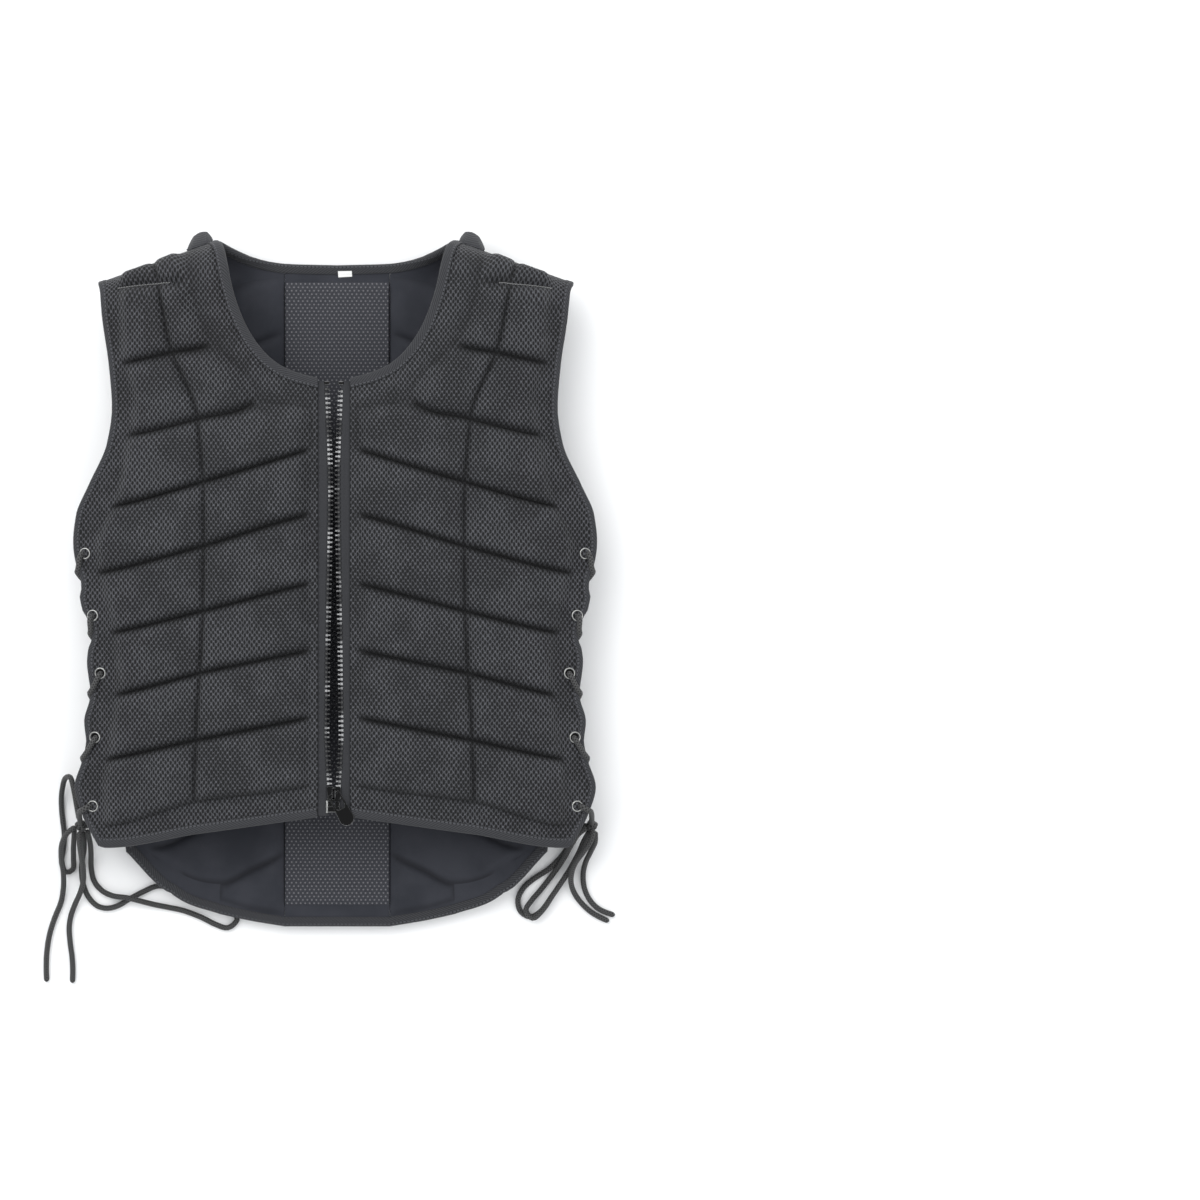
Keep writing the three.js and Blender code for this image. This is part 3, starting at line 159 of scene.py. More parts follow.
ROUTES = {
    "lace_loop_left_1": [
        (-224, 96.6, 29), (-226, 107, 27.5), (-228.5, 120, 26), (-232, 131, 22), (-237, 130, 15),
        (-240.5, 119, 8), (-241.5, 107, 3.5), (-240.5, 94, 2.6), (-239, 80, 2.6), (-240, 67, 2.6),
        (-241.5, 56, 2.6), (-237.5, 47.5, 2.6), (-231.5, 50, 3.2), (-230.5, 60, 8), (-230, 69, 14),
        (-229, 77, 20.5), (-228, 84.6, 27.2),
    ],
    "lace_loop_left_2": [
        (-221.2, 83, 24.8), (-220.5, 76, 17.5), (-221, 68, 10), (-223, 59.5, 4.5), (-224, 49, 2.6),
        (-222.5, 37, 2.6), (-218, 26, 2.6), (-210, 18, 2.6), (-201, 16, 2.6), (-191.5, 18.5, 2.6),
        (-181.5, 24.5, 2.6), (-170, 30.5, 2.6), (-157, 35.5, 2.6), (-143, 32.5, 2.6), (-129, 27, 2.6),
        (-115, 21.5, 2.6), (-102, 19, 2.6), (-91, 15.5, 2.6), (-88, 6, 2.6), (-96, -1, 2.6),
        (-107, 2, 2.6), (-119, 8, 2.6), (-135, 14, 2.6), (-149, 17, 2.6), (-161, 19.5, 4), (-172, 22.5, 7),
        (-184, 25.5, 8), (-196, 27, 6.5), (-206, 31.5, 3.5), (-213, 40, 2.7), (-215.5, 52, 3.5),
        (-215, 63, 10), (-215, 73, 18), (-216.4, 83.8, 27.6),
    ],
    "lace_tail_left_1": [
        (-228, 87.4, 35), (-233.5, 83, 35.5), (-238.5, 73.5, 30), (-240, 62, 21.5), (-239, 48, 12.5),
        (-239.5, 34, 6), (-242, 21, 2.8), (-247, 8.6, 2.6), (-251.7, -6, 2.6), (-254.3, -22.5, 2.6),
        (-254.8, -36, 2.6), (-254.5, -46, 2.6),
    ],
    "lace_tail_left_2": [
        (-222.8, 82.6, 34.8), (-223, 75, 34), (-222, 63, 27.5), (-221, 51, 20), (-221.5, 40, 13.5),
        (-224.5, 30, 9.5), (-229, 20.5, 5), (-232.8, 11, 2.8), (-234.7, 0, 2.6), (-234, -13, 2.6),
        (-232.2, -26.8, 2.6), (-231.6, -38, 2.6), (-231.8, -47, 2.6),
    ],
    "lace_loop_right_1": [
        (215.6, 87, 26), (209.5, 82, 20), (203, 72.5, 11.5), (194.6, 60.5, 4.5), (184, 50, 2.6),
        (172.5, 42.5, 2.6), (162.5, 34, 2.6), (157.5, 23.5, 2.6), (160, 13, 2.6), (168.5, 8.5, 2.6),
        (177.5, 13.5, 2.6), (187.5, 27, 2.6), (197, 41, 2.6), (204.5, 53, 3.5), (210.5, 64.5, 9.5),
        (215, 75, 18), (219.2, 83, 25.6),
    ],
    "lace_loop_right_2": [
        (216, 86.6, 34.4), (210, 81.5, 32), (204, 72, 22.5), (198.5, 61.5, 12), (191.5, 50.5, 5),
        (184, 40.5, 2.7), (176.5, 31, 2.6), (169.5, 23, 4.8), (164.5, 14.5, 7.8), (170.5, 7.5, 8),
        (179, 14.5, 8), (187.7, 27.3, 8), (197.2, 41.3, 8), (205, 53, 10), (211.5, 64, 17),
        (216, 74, 25.5), (219.6, 82.2, 31.6),
    ],
    "lace_tail_right_1": [
        (223.2, 84.2, 36.2), (221, 76, 37), (214.5, 66, 31.5), (208, 57, 24), (204.5, 47.5, 16.5),
        (204, 38, 9), (207, 29, 4), (213, 20.5, 2.7), (221, 13, 2.6), (228.5, 8.5, 2.6), (235, 5.5, 2.6),
    ],
    "lace_tail_right_2": [
        (225.2, 82.2, 30), (225, 75, 25), (221, 66, 17), (216.5, 56, 9), (214.5, 46, 3.7),
        (215.5, 34, 2.6), (219.5, 24.5, 2.6), (226, 17, 2.6), (233, 13, 2.6), (240, 10.5, 2.6),
    ],
}

FRONT_EYELETS = (0.541, 0.452, 0.369, 0.277, 0.178)
BACK_EYELETS = (0.522, 0.43, 0.343, 0.248, 0.15)
SPINE_LINES = (0.001, 0.019, 0.944, 0.97)

# The garment's middle is the origin, so every mesh moves down by this much
slider_low, slider_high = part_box("zip_slider")
CENTRE_Y = SLIDER_UP * BODY_LENGTH - (slider_low.y + slider_high.y) * 500


def to_row(points):
    points = np.asarray(points, float)
    return (points - np.array([0, CENTRE_Y, 0])) / 1000


def solid_box(name):
    return [np.array(corner) * 1000 + np.array([0, CENTRE_Y, 0]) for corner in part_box(name)]


def mirrored(points):
    return points * np.array([-1, 1, 1])


def link_object(name, data):
    obj = bpy.data.objects.new(name, data)
    bpy.context.scene.collection.objects.link(obj)
    return obj


# Camera: straight down, with the photograph's framing
PIXEL = 0.865
PHOTO_SIDE, MIDDLE_COLUMN, HEM_ROW = 1200, 335, 930  # pixels
FRAME_SIDE = PHOTO_SIDE * PIXEL
LENS = 173
SCALE_HEIGHT = 55  # where one pixel is PIXEL long
camera_data = bpy.data.cameras.new("camera")
camera_data.lens = LENS
camera = link_object("camera", camera_data)
reach = camera_data.lens / camera_data.sensor_width * FRAME_SIDE
camera_x = (PHOTO_SIDE / 2 - MIDDLE_COLUMN) * PIXEL
camera_y = (HEM_ROW - PHOTO_SIDE / 2) * PIXEL
camera.location = to_row([camera_x, camera_y, reach + SCALE_HEIGHT])
bpy.context.scene.camera = camera


# Walls
def smoothstep(value, low, high):
    t = np.clip((value - low) / (high - low), 0, 1)
    return t * t * (3 - 2 * t)


def mix(a, b, share):
    return a + (b - a) * share


def shoulder_top(x):
    past = np.maximum(np.abs(x) - NECK_HALF, 0)
    return BODY_LENGTH - SEAM_SET - SHOULDER_DROP / (CHEST_HALF - NECK_HALF) * past


def smooth_read(at, places, values):
    """A rounded line through a table's rows, which never goes past them."""
    gap = np.diff(places)
    fall = np.diff(values) / gap
    near, far = fall[:-1], fall[1:]
    same = near * far > 0
    weight, other = 2 * gap[1:] + gap[:-1], gap[1:] + 2 * gap[:-1]
    inner = (weight + other) / (weight / np.where(same, near, 1) + other / np.where(same, far, 1))
    slopes = np.concatenate([fall[:1], np.where(same, inner, 0), fall[-1:]])
    i = np.clip(np.searchsorted(places, at) - 1, 0, len(places) - 2)
    width = places[i + 1] - places[i]
    t = np.clip((at - places[i]) / width, 0, 1)
    rest = (t**3 - 2 * t**2 + t) * width * slopes[i] + (t**3 - t**2) * width * slopes[i + 1]
    return mix(values[i], values[i + 1], 3 * t**2 - 2 * t**3) + rest


def back_top(x):
    neck = smooth_read(np.abs(x) / CHEST_HALF, BACK_NECK["out"], BACK_NECK["up"]) * BODY_LENGTH
    return np.where(np.abs(x) >= NECK_HALF, shoulder_top(x), neck - SEAM_SET)


def front_wall(x, a):
    rest = mix(FRONT_CROWN, FRONT_SIDE, (np.abs(x) / CHEST_HALF) ** CROWN_POWER)
    start = shoulder_top(x) - FOLD_REACH
    turn = np.maximum(a - start, 0) / FOLD_REACH * math.pi / 2
    seam = FOLD_HEIGHT + CLEAR / 2
    y = np.minimum(a, start) + FOLD_REACH * np.sin(turn)
    return np.stack([x + 0 * a, y, seam + (rest - seam) * np.cos(turn)], -1)


def back_wall(x, a):
    past = np.maximum(np.abs(x) - FLAT_HALF, 0) / (CHEST_HALF - FLAT_HALF)
    rest = WALL / 2 + PAD_RISE + BACK_LIFT * past**2
    start = back_top(x) - FOLD_REACH
    side = smoothstep(np.abs(x), SPINE_HALF, NECK_HALF)
    most = mix(SPINE_FOLD, 1, side) * math.pi / 2
    turn = np.maximum(a - start, 0) / FOLD_REACH * most
    seam = FOLD_HEIGHT - CLEAR / 2
    y = np.minimum(a, start) + FOLD_REACH * np.sin(turn) / np.sin(most)
    return np.stack([x + 0 * a, y, rest + (seam - rest) * (1 - np.cos(turn))], -1)


FRONT = (front_wall, 1)
BACK = (back_wall, -1)
PROBE = 0.05


def unit(v):
    return v / np.linalg.norm(v, axis=-1, keepdims=True)


def normal_at(side, x, a):
    wall, outward = side
    across = wall(x + PROBE, a) - wall(x - PROBE, a)
    along = wall(x, a + PROBE) - wall(x, a - PROBE)
    return unit(np.cross(across, along)) * outward


def direction_at(side, x, a, dx, da):
    return unit(side[0](x + dx * PROBE, a + da * PROBE) - side[0](x - dx * PROBE, a - da * PROBE))


def off_wall(side, x, a, height):
    x, a = np.asarray(x, float), np.asarray(a, float)
    return side[0](x, a) + normal_at(side, x, a) * np.asarray(height, float)[..., None]


# Mesh making
def make_object(name, points, faces, uv=None, material_of=None, materials=(), body="vest", seam_shade=None):
    mesh = bpy.data.meshes.new(name)
    mesh.from_pydata(to_row(points).tolist(), [], faces)
    if uv is not None:
        layer = mesh.uv_layers.new(name="cloth")
        index = np.empty(len(mesh.loops), int)
        mesh.loops.foreach_get("vertex_index", index)
        layer.data.foreach_set("uv", (np.asarray(uv, float)[index] / 1000).ravel())
    # Painted shade of the quilting seams, one value for each point
    if seam_shade is not None:
        mesh.attributes.new("seam_shade", "FLOAT", "POINT").data.foreach_set("value", seam_shade)
    for material in materials:
        mesh.materials.append(material)
    if material_of is not None:
        mesh.polygons.foreach_set("material_index", material_of)
    mesh.polygons.foreach_set("use_smooth", [True] * len(mesh.polygons))
    mesh.update()
    obj = link_object(name, mesh)
    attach(obj, body)
    return obj


def grid_faces(rows, columns, start=0, flip=False):
    r, c = np.meshgrid(np.arange(rows - 1), np.arange(columns - 1), indexing="ij")
    corner = (start + r * columns + c).ravel()
    quads = np.stack([corner, corner + 1, corner + columns + 1, corner + columns], -1)
    return (quads[:, ::-1] if flip else quads).tolist()


def strip_object(name, lines, material, replaced, flip=False, across=None, along=None, body="vest"):
    """A surface through lines of points, with its own lengths in millimetres as its UV map."""
    lines = np.asarray(lines, float)
    if along is None:
        along = np.linalg.norm(np.diff(lines.mean(1), axis=0), axis=-1)
        along = np.concatenate([[0], np.cumsum(along)])
    if across is None:
        across = np.linalg.norm(np.diff(lines, axis=1), axis=-1).mean(0)
        across = np.concatenate([[0], np.cumsum(across)])
    uv = np.stack(np.broadcast_arrays(along[:, None], across[None, :]), -1).reshape(-1, 2)
    faces = grid_faces(*lines.shape[:2], flip=flip)
    obj = make_object(name, lines.reshape(-1, 3), faces, uv, materials=[material], body=body)
    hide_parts(*replaced)
    return obj


def catmull(points, step):
    """Points along a centripetal Catmull-Rom curve, about step apart."""
    p = np.asarray(points, float)
    p = np.vstack([2 * p[0] - p[1], p, 2 * p[-1] - p[-2]])
    out = []
    for a, b, c, d in zip(p, p[1:], p[2:], p[3:]):
        knots = np.cumsum([0] + [np.linalg.norm(v) ** 0.5 for v in (b - a, c - b, d - c)])
        count = max(2, round(np.linalg.norm(c - b) / step))
        t = np.linspace(knots[1], knots[2], count, endpoint=False)[:, None]
        t0, t1, t2, t3 = knots
        a1 = (t1 - t) / (t1 - t0) * a + (t - t0) / (t1 - t0) * b
        a2 = (t2 - t) / (t2 - t1) * b + (t - t1) / (t2 - t1) * c
        a3 = (t3 - t) / (t3 - t2) * c + (t - t2) / (t3 - t2) * d
        b1 = (t2 - t) / (t2 - t0) * a1 + (t - t0) / (t2 - t0) * a2
        b2 = (t3 - t) / (t3 - t1) * a2 + (t - t1) / (t3 - t1) * a3
        out.append((t2 - t) / (t2 - t1) * b1 + (t - t1) / (t2 - t1) * b2)
    return np.vstack([*out, p[-2]])


def rounded(points, passes=3):
    """A line with its corners cut, so that it stays inside the original's corners."""
    p = np.asarray(points, float)
    for _ in range(passes):
        low, high = mix(p[:-1], p[1:], 0.25), mix(p[:-1], p[1:], 0.75)
        p = np.vstack([p[0], np.stack([low, high], 1).reshape(-1, 3), p[-1]])
    return p


CORD_CAP = ((0.8, 0.55), (0.35, 0.9), (0.02, 1.0))  # width and reach, as shares of the radius
NEARLY_ALONG = 0.05


def tube(name, path, radius, material, replaced, body="vest", sides=14):
    """A round cord along path with closed, rounded ends."""
    path = np.asarray(path, float)
    along = unit(np.gradient(path, axis=0))
    normal = np.array([0, 0, 1.0])
    rings = []
    turns = np.linspace(0, 2 * math.pi, sides + 1)
    for point, ahead in zip(path, along):
        normal = normal - ahead * normal.dot(ahead)
        if np.linalg.norm(normal) < NEARLY_ALONG:
            normal = np.cross(ahead, [1, 0, 0])
        normal = normal / np.linalg.norm(normal)
        side = np.cross(ahead, normal)
        rings.append(point + radius * (np.cos(turns)[:, None] * normal + np.sin(turns)[:, None] * side))
    rings = np.array(rings)
    caps = []
    for end, way in ((0, -1), (-1, 1)):
        ring, tip = rings[end] - path[end], along[end] * way * radius
        caps.append([path[end] + ring * width + tip * out for width, out in CORD_CAP])
    rings = np.concatenate([np.array(caps[0])[::-1], rings, np.array(caps[1])])
    return strip_object(name, rings, material, replaced, across=turns * radius, body=body)


# Materials
class Shader:
    """A material's nodes, made by short calls; a number or a socket can go into any input."""

    def __init__(self, name, colour=(0.05, 0.05, 0.05), roughness=0.8, metallic=0.0):
        self.material = bpy.data.materials.new(name)
        self.material.use_nodes = True
        self.tree = self.material.node_tree
        self.surface = self.tree.nodes["Principled BSDF"]
        self.surface.inputs["Base Color"].default_value = (*colour, 1)
        self.surface.inputs["Roughness"].default_value = roughness
        self.surface.inputs["Metallic"].default_value = metallic
        if not metallic:
            self.surface.inputs["Specular IOR Level"].default_value = 0.16
        self.place = self.node("ShaderNodeTexCoord").outputs

    def node(self, kind, settings=(), **inputs):
        made = self.tree.nodes.new(kind)
        for key, value in dict(settings).items():
            setattr(made, key, value)
        for key, value in inputs.items():
            self.put(made.inputs[key.replace("_", " ")], value)
        return made

    def put(self, socket, value):
        if isinstance(value, bpy.types.NodeSocket):
            self.tree.links.new(value, socket)
        else:
            socket.default_value = value

    def math(self, operation, *values):
        made = self.node("ShaderNodeMath", {"operation": operation})
        for i, value in enumerate(values):
            self.put(made.inputs[i], value)
        return made.outputs[0]

    def add(self, one, other):
        return self.math("ADD", one, other)

    def times(self, one, other):
        return self.math("MULTIPLY", one, other)

    def minus(self, one, other):
        return self.math("SUBTRACT", one, other)

    def split(self, kind):
        return self.node("ShaderNodeSeparateXYZ", Vector=self.place[kind]).outputs

    # The painted shade of the quilting seams, stored on the padding's points
    def seam_shade(self):
        return self.node("ShaderNodeAttribute", {"attribute_name": "seam_shade"}).outputs["Fac"]

    def vector(self, operation, *values):
        made = self.node("ShaderNodeVectorMath", {"operation": operation})
        for i, value in enumerate(values):
            self.put(made.inputs[i], value)
        return made.outputs["Value" if operation in ("LENGTH", "DISTANCE") else "Vector"]

    def ramp(self, value, low, high, out_low=0.0, out_high=1.0):
        made = self.node(
            "ShaderNodeMapRange", {"interpolation_type": "SMOOTHSTEP"},
            Value=value, From_Min=low, From_Max=high, To_Min=out_low, To_Max=out_high,
        )
        return made.outputs[0]

    def noise(self, size, detail=2.0, where=None):
        made = self.node(
            "ShaderNodeTexNoise", Vector=where or self.place["Object"], Scale=1000 / size, Detail=detail,
        )
        return made.outputs[0]

    def blend(self, share, low, high):
        made = self.node("ShaderNodeMix", {"data_type": "RGBA"})
        for index, value in ((0, share), (6, low), (7, high)):
            self.put(made.inputs[index], value)
        return made.outputs[2]

    def colour(self, value):
        self.put(self.surface.inputs["Base Color"], value)

    def bump(self, height, depth, strength=1.0):
        made = self.node("ShaderNodeBump", Strength=strength, Distance=depth / 1000, Height=height)
        self.put(self.surface.inputs["Normal"], made.outputs[0])

    def sheen(self, weight, roughness=0.5):
        self.surface.inputs["Sheen Weight"].default_value = weight
        self.surface.inputs["Sheen Roughness"].default_value = roughness

    def lattice(self, across, along, oval=1.0, uneven=0.0):
        """Distance to the nearest point of a staggered lattice, in shares of its spacing."""
        cells = self.vector("MULTIPLY", self.place["UV"], (1000 / across, 1000 / along, 0))
        if uneven:
            scale = 1000 / DRIFT_SIZE
            drift = self.node("ShaderNodeTexNoise", Vector=self.place["UV"], Scale=scale, Detail=3.0)
            moved = self.vector("SUBTRACT", drift.outputs["Color"], (0.5, 0.5, 0))
            cells = self.vector("ADD", cells, self.vector("MULTIPLY", moved, (uneven, uneven, 0)))
        far = []
        for shift in (0.0, 0.5):
            moved = self.vector("FRACTION", self.vector("ADD", cells, (shift, shift, 0)))
            offset = self.vector("SUBTRACT", moved, (0.5, 0.5, 0))
            far.append(self.vector("LENGTH", self.vector("MULTIPLY", offset, (1, oval, 0))))
        return self.math("MINIMUM", *far)

    def wave(self, along, across, pitch):
        """Straight ridges that run across the direction (along, across) of the UV map, 0 to 1."""
        split = self.split("UV")
        ahead = self.add(self.times(split[0], along), self.times(split[1], across))
        turned = self.math("SINE", self.times(ahead, 2000 * math.pi / pitch))
        return self.add(self.times(turned, 0.5), 0.5)


def grey(value, tint=(1, 1, 1)):
    return tuple(value * t for t in tint) + (1,)


COOL = (0.96, 0.98, 1.08)
DRIFT_SIZE = 14
STITCH_INSET = 2.2
STITCH_LENGTH = 3.4


def air_mesh(name, across, along, hole, tone):
    s = Shader(name, roughness=0.62)
    shade = s.noise(60, 3)
    size = s.ramp(s.noise(30, 2), 0.35, 0.65, hole * 0.9, hole * 1.1)
    solid = s.ramp(s.minus(s.lattice(across, along, 0.74, 0.6), size), -0.03, 0.13)
    yarn = s.noise(0.9, 2)
    thread = s.blend(s.ramp(yarn, 0.35, 0.7), grey(tone * 0.62, COOL), grey(tone * 1.75, COOL))
    worn = s.blend(s.ramp(shade, 0.3, 0.72), thread, s.blend(0.12, thread, grey(tone * 1.7, COOL)))
    knit = s.blend(solid, grey(tone * 0.1, COOL), worn)
    # Painted shade in the quilting seams darkens the mesh there, nearly to black
    s.colour(s.blend(s.times(s.seam_shade(), 0.93), knit, grey(tone * 0.05, COOL)))
    s.bump(s.add(solid, s.times(yarn, 0.35)), 0.6, 0.9)
    s.sheen(0.08)
    return s.material


def plain_lining(name):
    s = Shader(name, roughness=0.7)
    knit = s.lattice(1.3, 1.1)
    shade = s.noise(45, 3)
    low = s.blend(s.ramp(shade, 0.3, 0.7), (0.026, 0.028, 0.036, 1), (0.04, 0.042, 0.052, 1))
    cloth = s.blend(s.ramp(knit, 0.1, 0.5), s.blend(0.35, low, (0, 0, 0, 1)), low)
    # Painted shade in the quilting seams darkens the lining there
    s.colour(s.blend(s.times(s.seam_shade(), 0.6), cloth, (0.006, 0.006, 0.008, 1)))
    s.bump(s.add(knit, s.times(s.noise(9, 3), 1.5)), 0.22, 0.7)
    s.sheen(0.05)
    return s.material


def dotted_lining(name):
    s = Shader(name, roughness=0.6)
    dot = s.ramp(s.lattice(6.0, 3.9, 0.65), 0.09, 0.16, 1.0, 0.0)
    base = s.blend(s.ramp(s.noise(1.1, 2), 0.3, 0.7), (0.024, 0.025, 0.031, 1), (0.04, 0.041, 0.048, 1))
    s.colour(s.blend(dot, base, (0.13, 0.13, 0.14, 1)))
    s.bump(s.add(dot, s.times(s.noise(1.1, 2), 0.4)), 0.35, 0.8)
    return s.material


def twill(name, tone, stitched=True, width=17.0):
    s = Shader(name, roughness=0.68)
    rib = s.wave(0.6, 0.8, 1.8)
    yarn = s.noise(0.8, 2)
    body = s.blend(rib, grey(tone * 0.5, COOL), grey(tone * 1.4, COOL))
    body = s.blend(s.ramp(yarn, 0.3, 1.0), body, grey(tone * 1.1, COOL))
    height = s.add(rib, s.times(yarn, 0.4))
    if stitched:
        side = s.math("ABSOLUTE", s.minus(s.split("UV")[1], width / 2000))
        beside = s.math("ABSOLUTE", s.minus(side, (width / 2 - STITCH_INSET) / 1000))
        line = s.ramp(beside, 0.0004, 0.0007, 1.0, 0.0)
        dash = s.ramp(s.wave(1, 0, STITCH_LENGTH), 0.12, 0.3)
        body = s.blend(line, body, s.blend(dash, grey(tone * 0.3, COOL), grey(tone * 2.0, COOL)))
        height = s.minus(height, s.times(s.times(line, s.minus(1.3, dash)), 1.8))
    s.colour(body)
    s.bump(height, 0.3, 0.8)
    s.sheen(0.08)
    return s.material


def braid(name, tone):
    s = Shader(name, roughness=0.55)
    one, other = s.wave(1, 0.6, 2.4), s.wave(1, -0.6, 2.4)
    weave = s.math("MAXIMUM", one, other)
    s.colour(s.blend(s.ramp(weave, 0.45, 0.95), grey(tone * 0.3), grey(tone * 1.7)))
    s.bump(weave, 0.4, 0.9)
    s.sheen(0.08)
    return s.material


def edged_metal(name, face, edge, roughness):
    """Dark plated metal with a painted highlight where its surfaces turn away from its flat faces, broken up
    by noise.
    """
    s = Shader(name, grey(face)[:3], roughness, 1.0)
    flat = s.math("ABSOLUTE", s.split("Normal")[2])
    wear_and_glint = s.add(flat, s.times(s.minus(s.noise(1.6, 3), 0.5), 0.4))
    s.colour(s.blend(s.ramp(wear_and_glint, 0.45, 0.9), grey(edge), grey(face)))
    s.bump(s.noise(2.2, 3), 0.04, 0.4)
    return s.material


def metal(name, colour, roughness, streak=0.12):
    s = Shader(name, colour, roughness, 1.0)
    wear_and_glint = s.noise(2.2, 4)
    s.put(s.surface.inputs["Roughness"], s.ramp(wear_and_glint, 0.3, 0.75, roughness, roughness + streak))
    bright = tuple(min(1, c * 1.35 + 0.015) for c in colour)
    s.colour(s.blend(s.ramp(wear_and_glint, 0.45, 0.7), (*colour, 1), (*bright, 1)))
    s.bump(wear_and_glint, 0.04, 0.4)
    return s.material


def glinting_teeth(name):
    """Dark plated teeth, with painted glints in bright stretches along the chain."""
    s = Shader(name, (0.05, 0.05, 0.05), 0.25, 1.0)
    s.colour(s.blend(s.ramp(s.noise(24, 2), 0.47, 0.62), grey(0.075), grey(0.42)))
    s.bump(s.noise(1.5, 2), 0.03, 0.4)
    return s.material


def fine_cloth(name, tone):
    s = Shader(name, roughness=0.7)
    rib = s.wave(1, 0, 0.9)
    yarn = s.noise(0.9, 2)
    body = s.blend(rib, grey(tone * 0.8, COOL), grey(tone * 1.15, COOL))
    s.colour(s.blend(s.ramp(yarn, 0.3, 0.75), body, grey(tone * 1.25, COOL)))
    s.bump(s.add(rib, yarn), 0.15, 0.6)
    return s.material


def label_cloth(name):
    s = Shader(name, (0.75, 0.75, 0.73), 0.75)
    weave = s.math("MAXIMUM", s.math("FRACT", s.times(s.noise(0.5, 2), 3.0)), s.noise(0.35, 1))
    s.colour(s.blend(weave, (0.62, 0.62, 0.6, 1), (0.83, 0.83, 0.81, 1)))
    s.bump(weave, 0.05, 0.5)
    return s.material


OUTER = air_mesh("air_mesh", across=4.1, along=5.6, hole=0.21, tone=0.058)
FINE = air_mesh("fine_air_mesh", across=2.7, along=2.9, hole=0.2, tone=0.05)
LINING = plain_lining("lining")
DOTTED = dotted_lining("dotted_lining")
TAPE = twill("binding_tape", tone=0.034)
RIBBON = twill("loop_ribbon", tone=0.036, stitched=False)
ZIP_TAPE = fine_cloth("zip_tape", tone=0.028)
BRAID = braid("braided_lace", tone=0.04)
NICKEL = metal("nickel", colour=(0.34, 0.34, 0.33), roughness=0.24)
# Its edge colour is the painted highlight on the turned edges of the zip's metal parts
GUNMETAL = edged_metal("gunmetal", face=0.014, edge=0.45, roughness=0.2)
TEETH = glinting_teeth("zip_teeth")
LABEL = label_cloth("label_cloth")
THREAD = braid("seam_thread", tone=0.13)


# Loose laces
LACE_STEP = 3.0


def build_free_laces():
    for name, route in ROUTES.items():
        path = catmull(route, LACE_STEP)
        cord = tube(name + "_cord", path, LACE / 2, BRAID, [name], sides=14)


build_free_laces()


# Padded panels
LINE_KEYS = ("edge", "inner", "divider", "outer", "side")


# Where the laces pull the front's side edge in, as millimetres outwards
LACED_EDGE = table("up out", [
    (0.273, 0), (0.3, 1.3), (0.345, 1), (0.369, 2.5), (0.384, 3.4), (0.404, 2.2), (0.418, -2.4),
    (0.433, -5.4), (0.4485, -3.6), (0.461, -1), (0.477, -1), (0.491, -3.8), (0.505, -4.6), (0.522, -3),
    (0.54, -2), (0.57, -0.8), (0.6, 0),
])


def out_at(rows):
    return lambda up: smooth_read(up, rows["up"], rows["out"]) * CHEST_HALF


def laced_side(up):
    return out_at(FRONT_SIDE_EDGE)(up) + smooth_read(up, LACED_EDGE["up"], LACED_EDGE["out"])


def panel_point(lines, columns, top, column, row):
    """Places (x, a) on the wall for line numbers across and up, as in the frame's own solids."""
    levels = np.array([lines[key] for key in LINE_KEYS]).T
    last = len(levels) - 1
    middle_row = levels[last // 2]
    spread = np.array([f(up) for f, up in zip(columns, middle_row)])
    spread = spread - spread[0]
    c = np.minimum(np.floor(column), len(LINE_KEYS) - 2).astype(int)
    r = np.minimum(np.floor(row), last - 1).astype(int)

    def up_on(line, at):
        place = np.interp(at, np.arange(len(spread)), spread)
        up = np.zeros(np.broadcast(line, at).shape)
        for k, row_levels in enumerate(levels):
            up = np.where(line == k, smooth_read(place, spread, row_levels), up)
        return up

    def x_on(line_column):
        up = mix(up_on(r, line_column.astype(float)), up_on(r + 1, line_column.astype(float)), row - r)
        return np.choose(line_column, [f(up) for f in columns])

    x = mix(x_on(c), x_on(c + 1), column - c)

    def along(line):
        below = last - line
        return np.where(below < 2, top(x) - below * SEAM_MARGIN, up_on(line, column) * BODY_LENGTH)

    return x, mix(along(r), along(r + 1), row - r)


def samples(widths, step, tight=0.55):
    """Line numbers with steps of about that many millimetres, closer together beside each line."""
    out = [0.0]
    for i, width in enumerate(widths):
        count = max(2, round(width / step))
        s = np.arange(1, count + 1) / count
        out.extend(i + s - tight * np.sin(2 * math.pi * s) / (2 * math.pi))
    return np.array(out)


def outwards(x, a, turn):
    dx, da = np.gradient(x), np.gradient(a)
    return unit(np.stack([da * turn, -dx * turn], -1))


def edge_rise(distance, width, depth=1.0):
    """The foam's height near its edge: most of it rises within width, the rest over three widths."""
    near = 1 - (1 - np.clip(distance / width, 0, 1)) ** 2.3
    wide = 1 - (1 - np.clip(distance / (width * 3), 0, 1)) ** 2
    return 1 - depth * (1 - 0.9 * near - 0.1 * wide)


# Seams: how wide the foam's edge rounds beside them, and how wide and dark the painted shade along them is
ROW_WIDTH, END_START, END_WIDTH, DIVIDER_WIDTH, DIVIDER_DEPTH = 7.5, -1.5, 12.0, 7.0, 0.6
ABOVE_SEAM, BELOW_SEAM, SEAM_START, SEAM_FULL = 3.3, 2.7, -2, 6
HEM_SHADE, SHOULDER_SHADE, SHOULDER_LINE = 0.6, 0.35, 10
SPLIT_WIDTH, SPLIT_SHADE = 2.0, 0.72
INNER_WIDTH, INNER_SHADE = 1.3, 0.4
DIVIDER_COLUMN = 2


def near_line(distance, width, strength):
    return strength * np.exp(-((distance / width) ** 2))


# How strong the painted shade is along a row's seam: weaker at the hem and shoulder lines
def row_line_shade(line):
    if line == 1:
        return HEM_SHADE
    return SHOULDER_SHADE if line >= SHOULDER_LINE else 1.0


def nearest(lines, value):
    return int(np.argmin(np.abs(lines - value)))


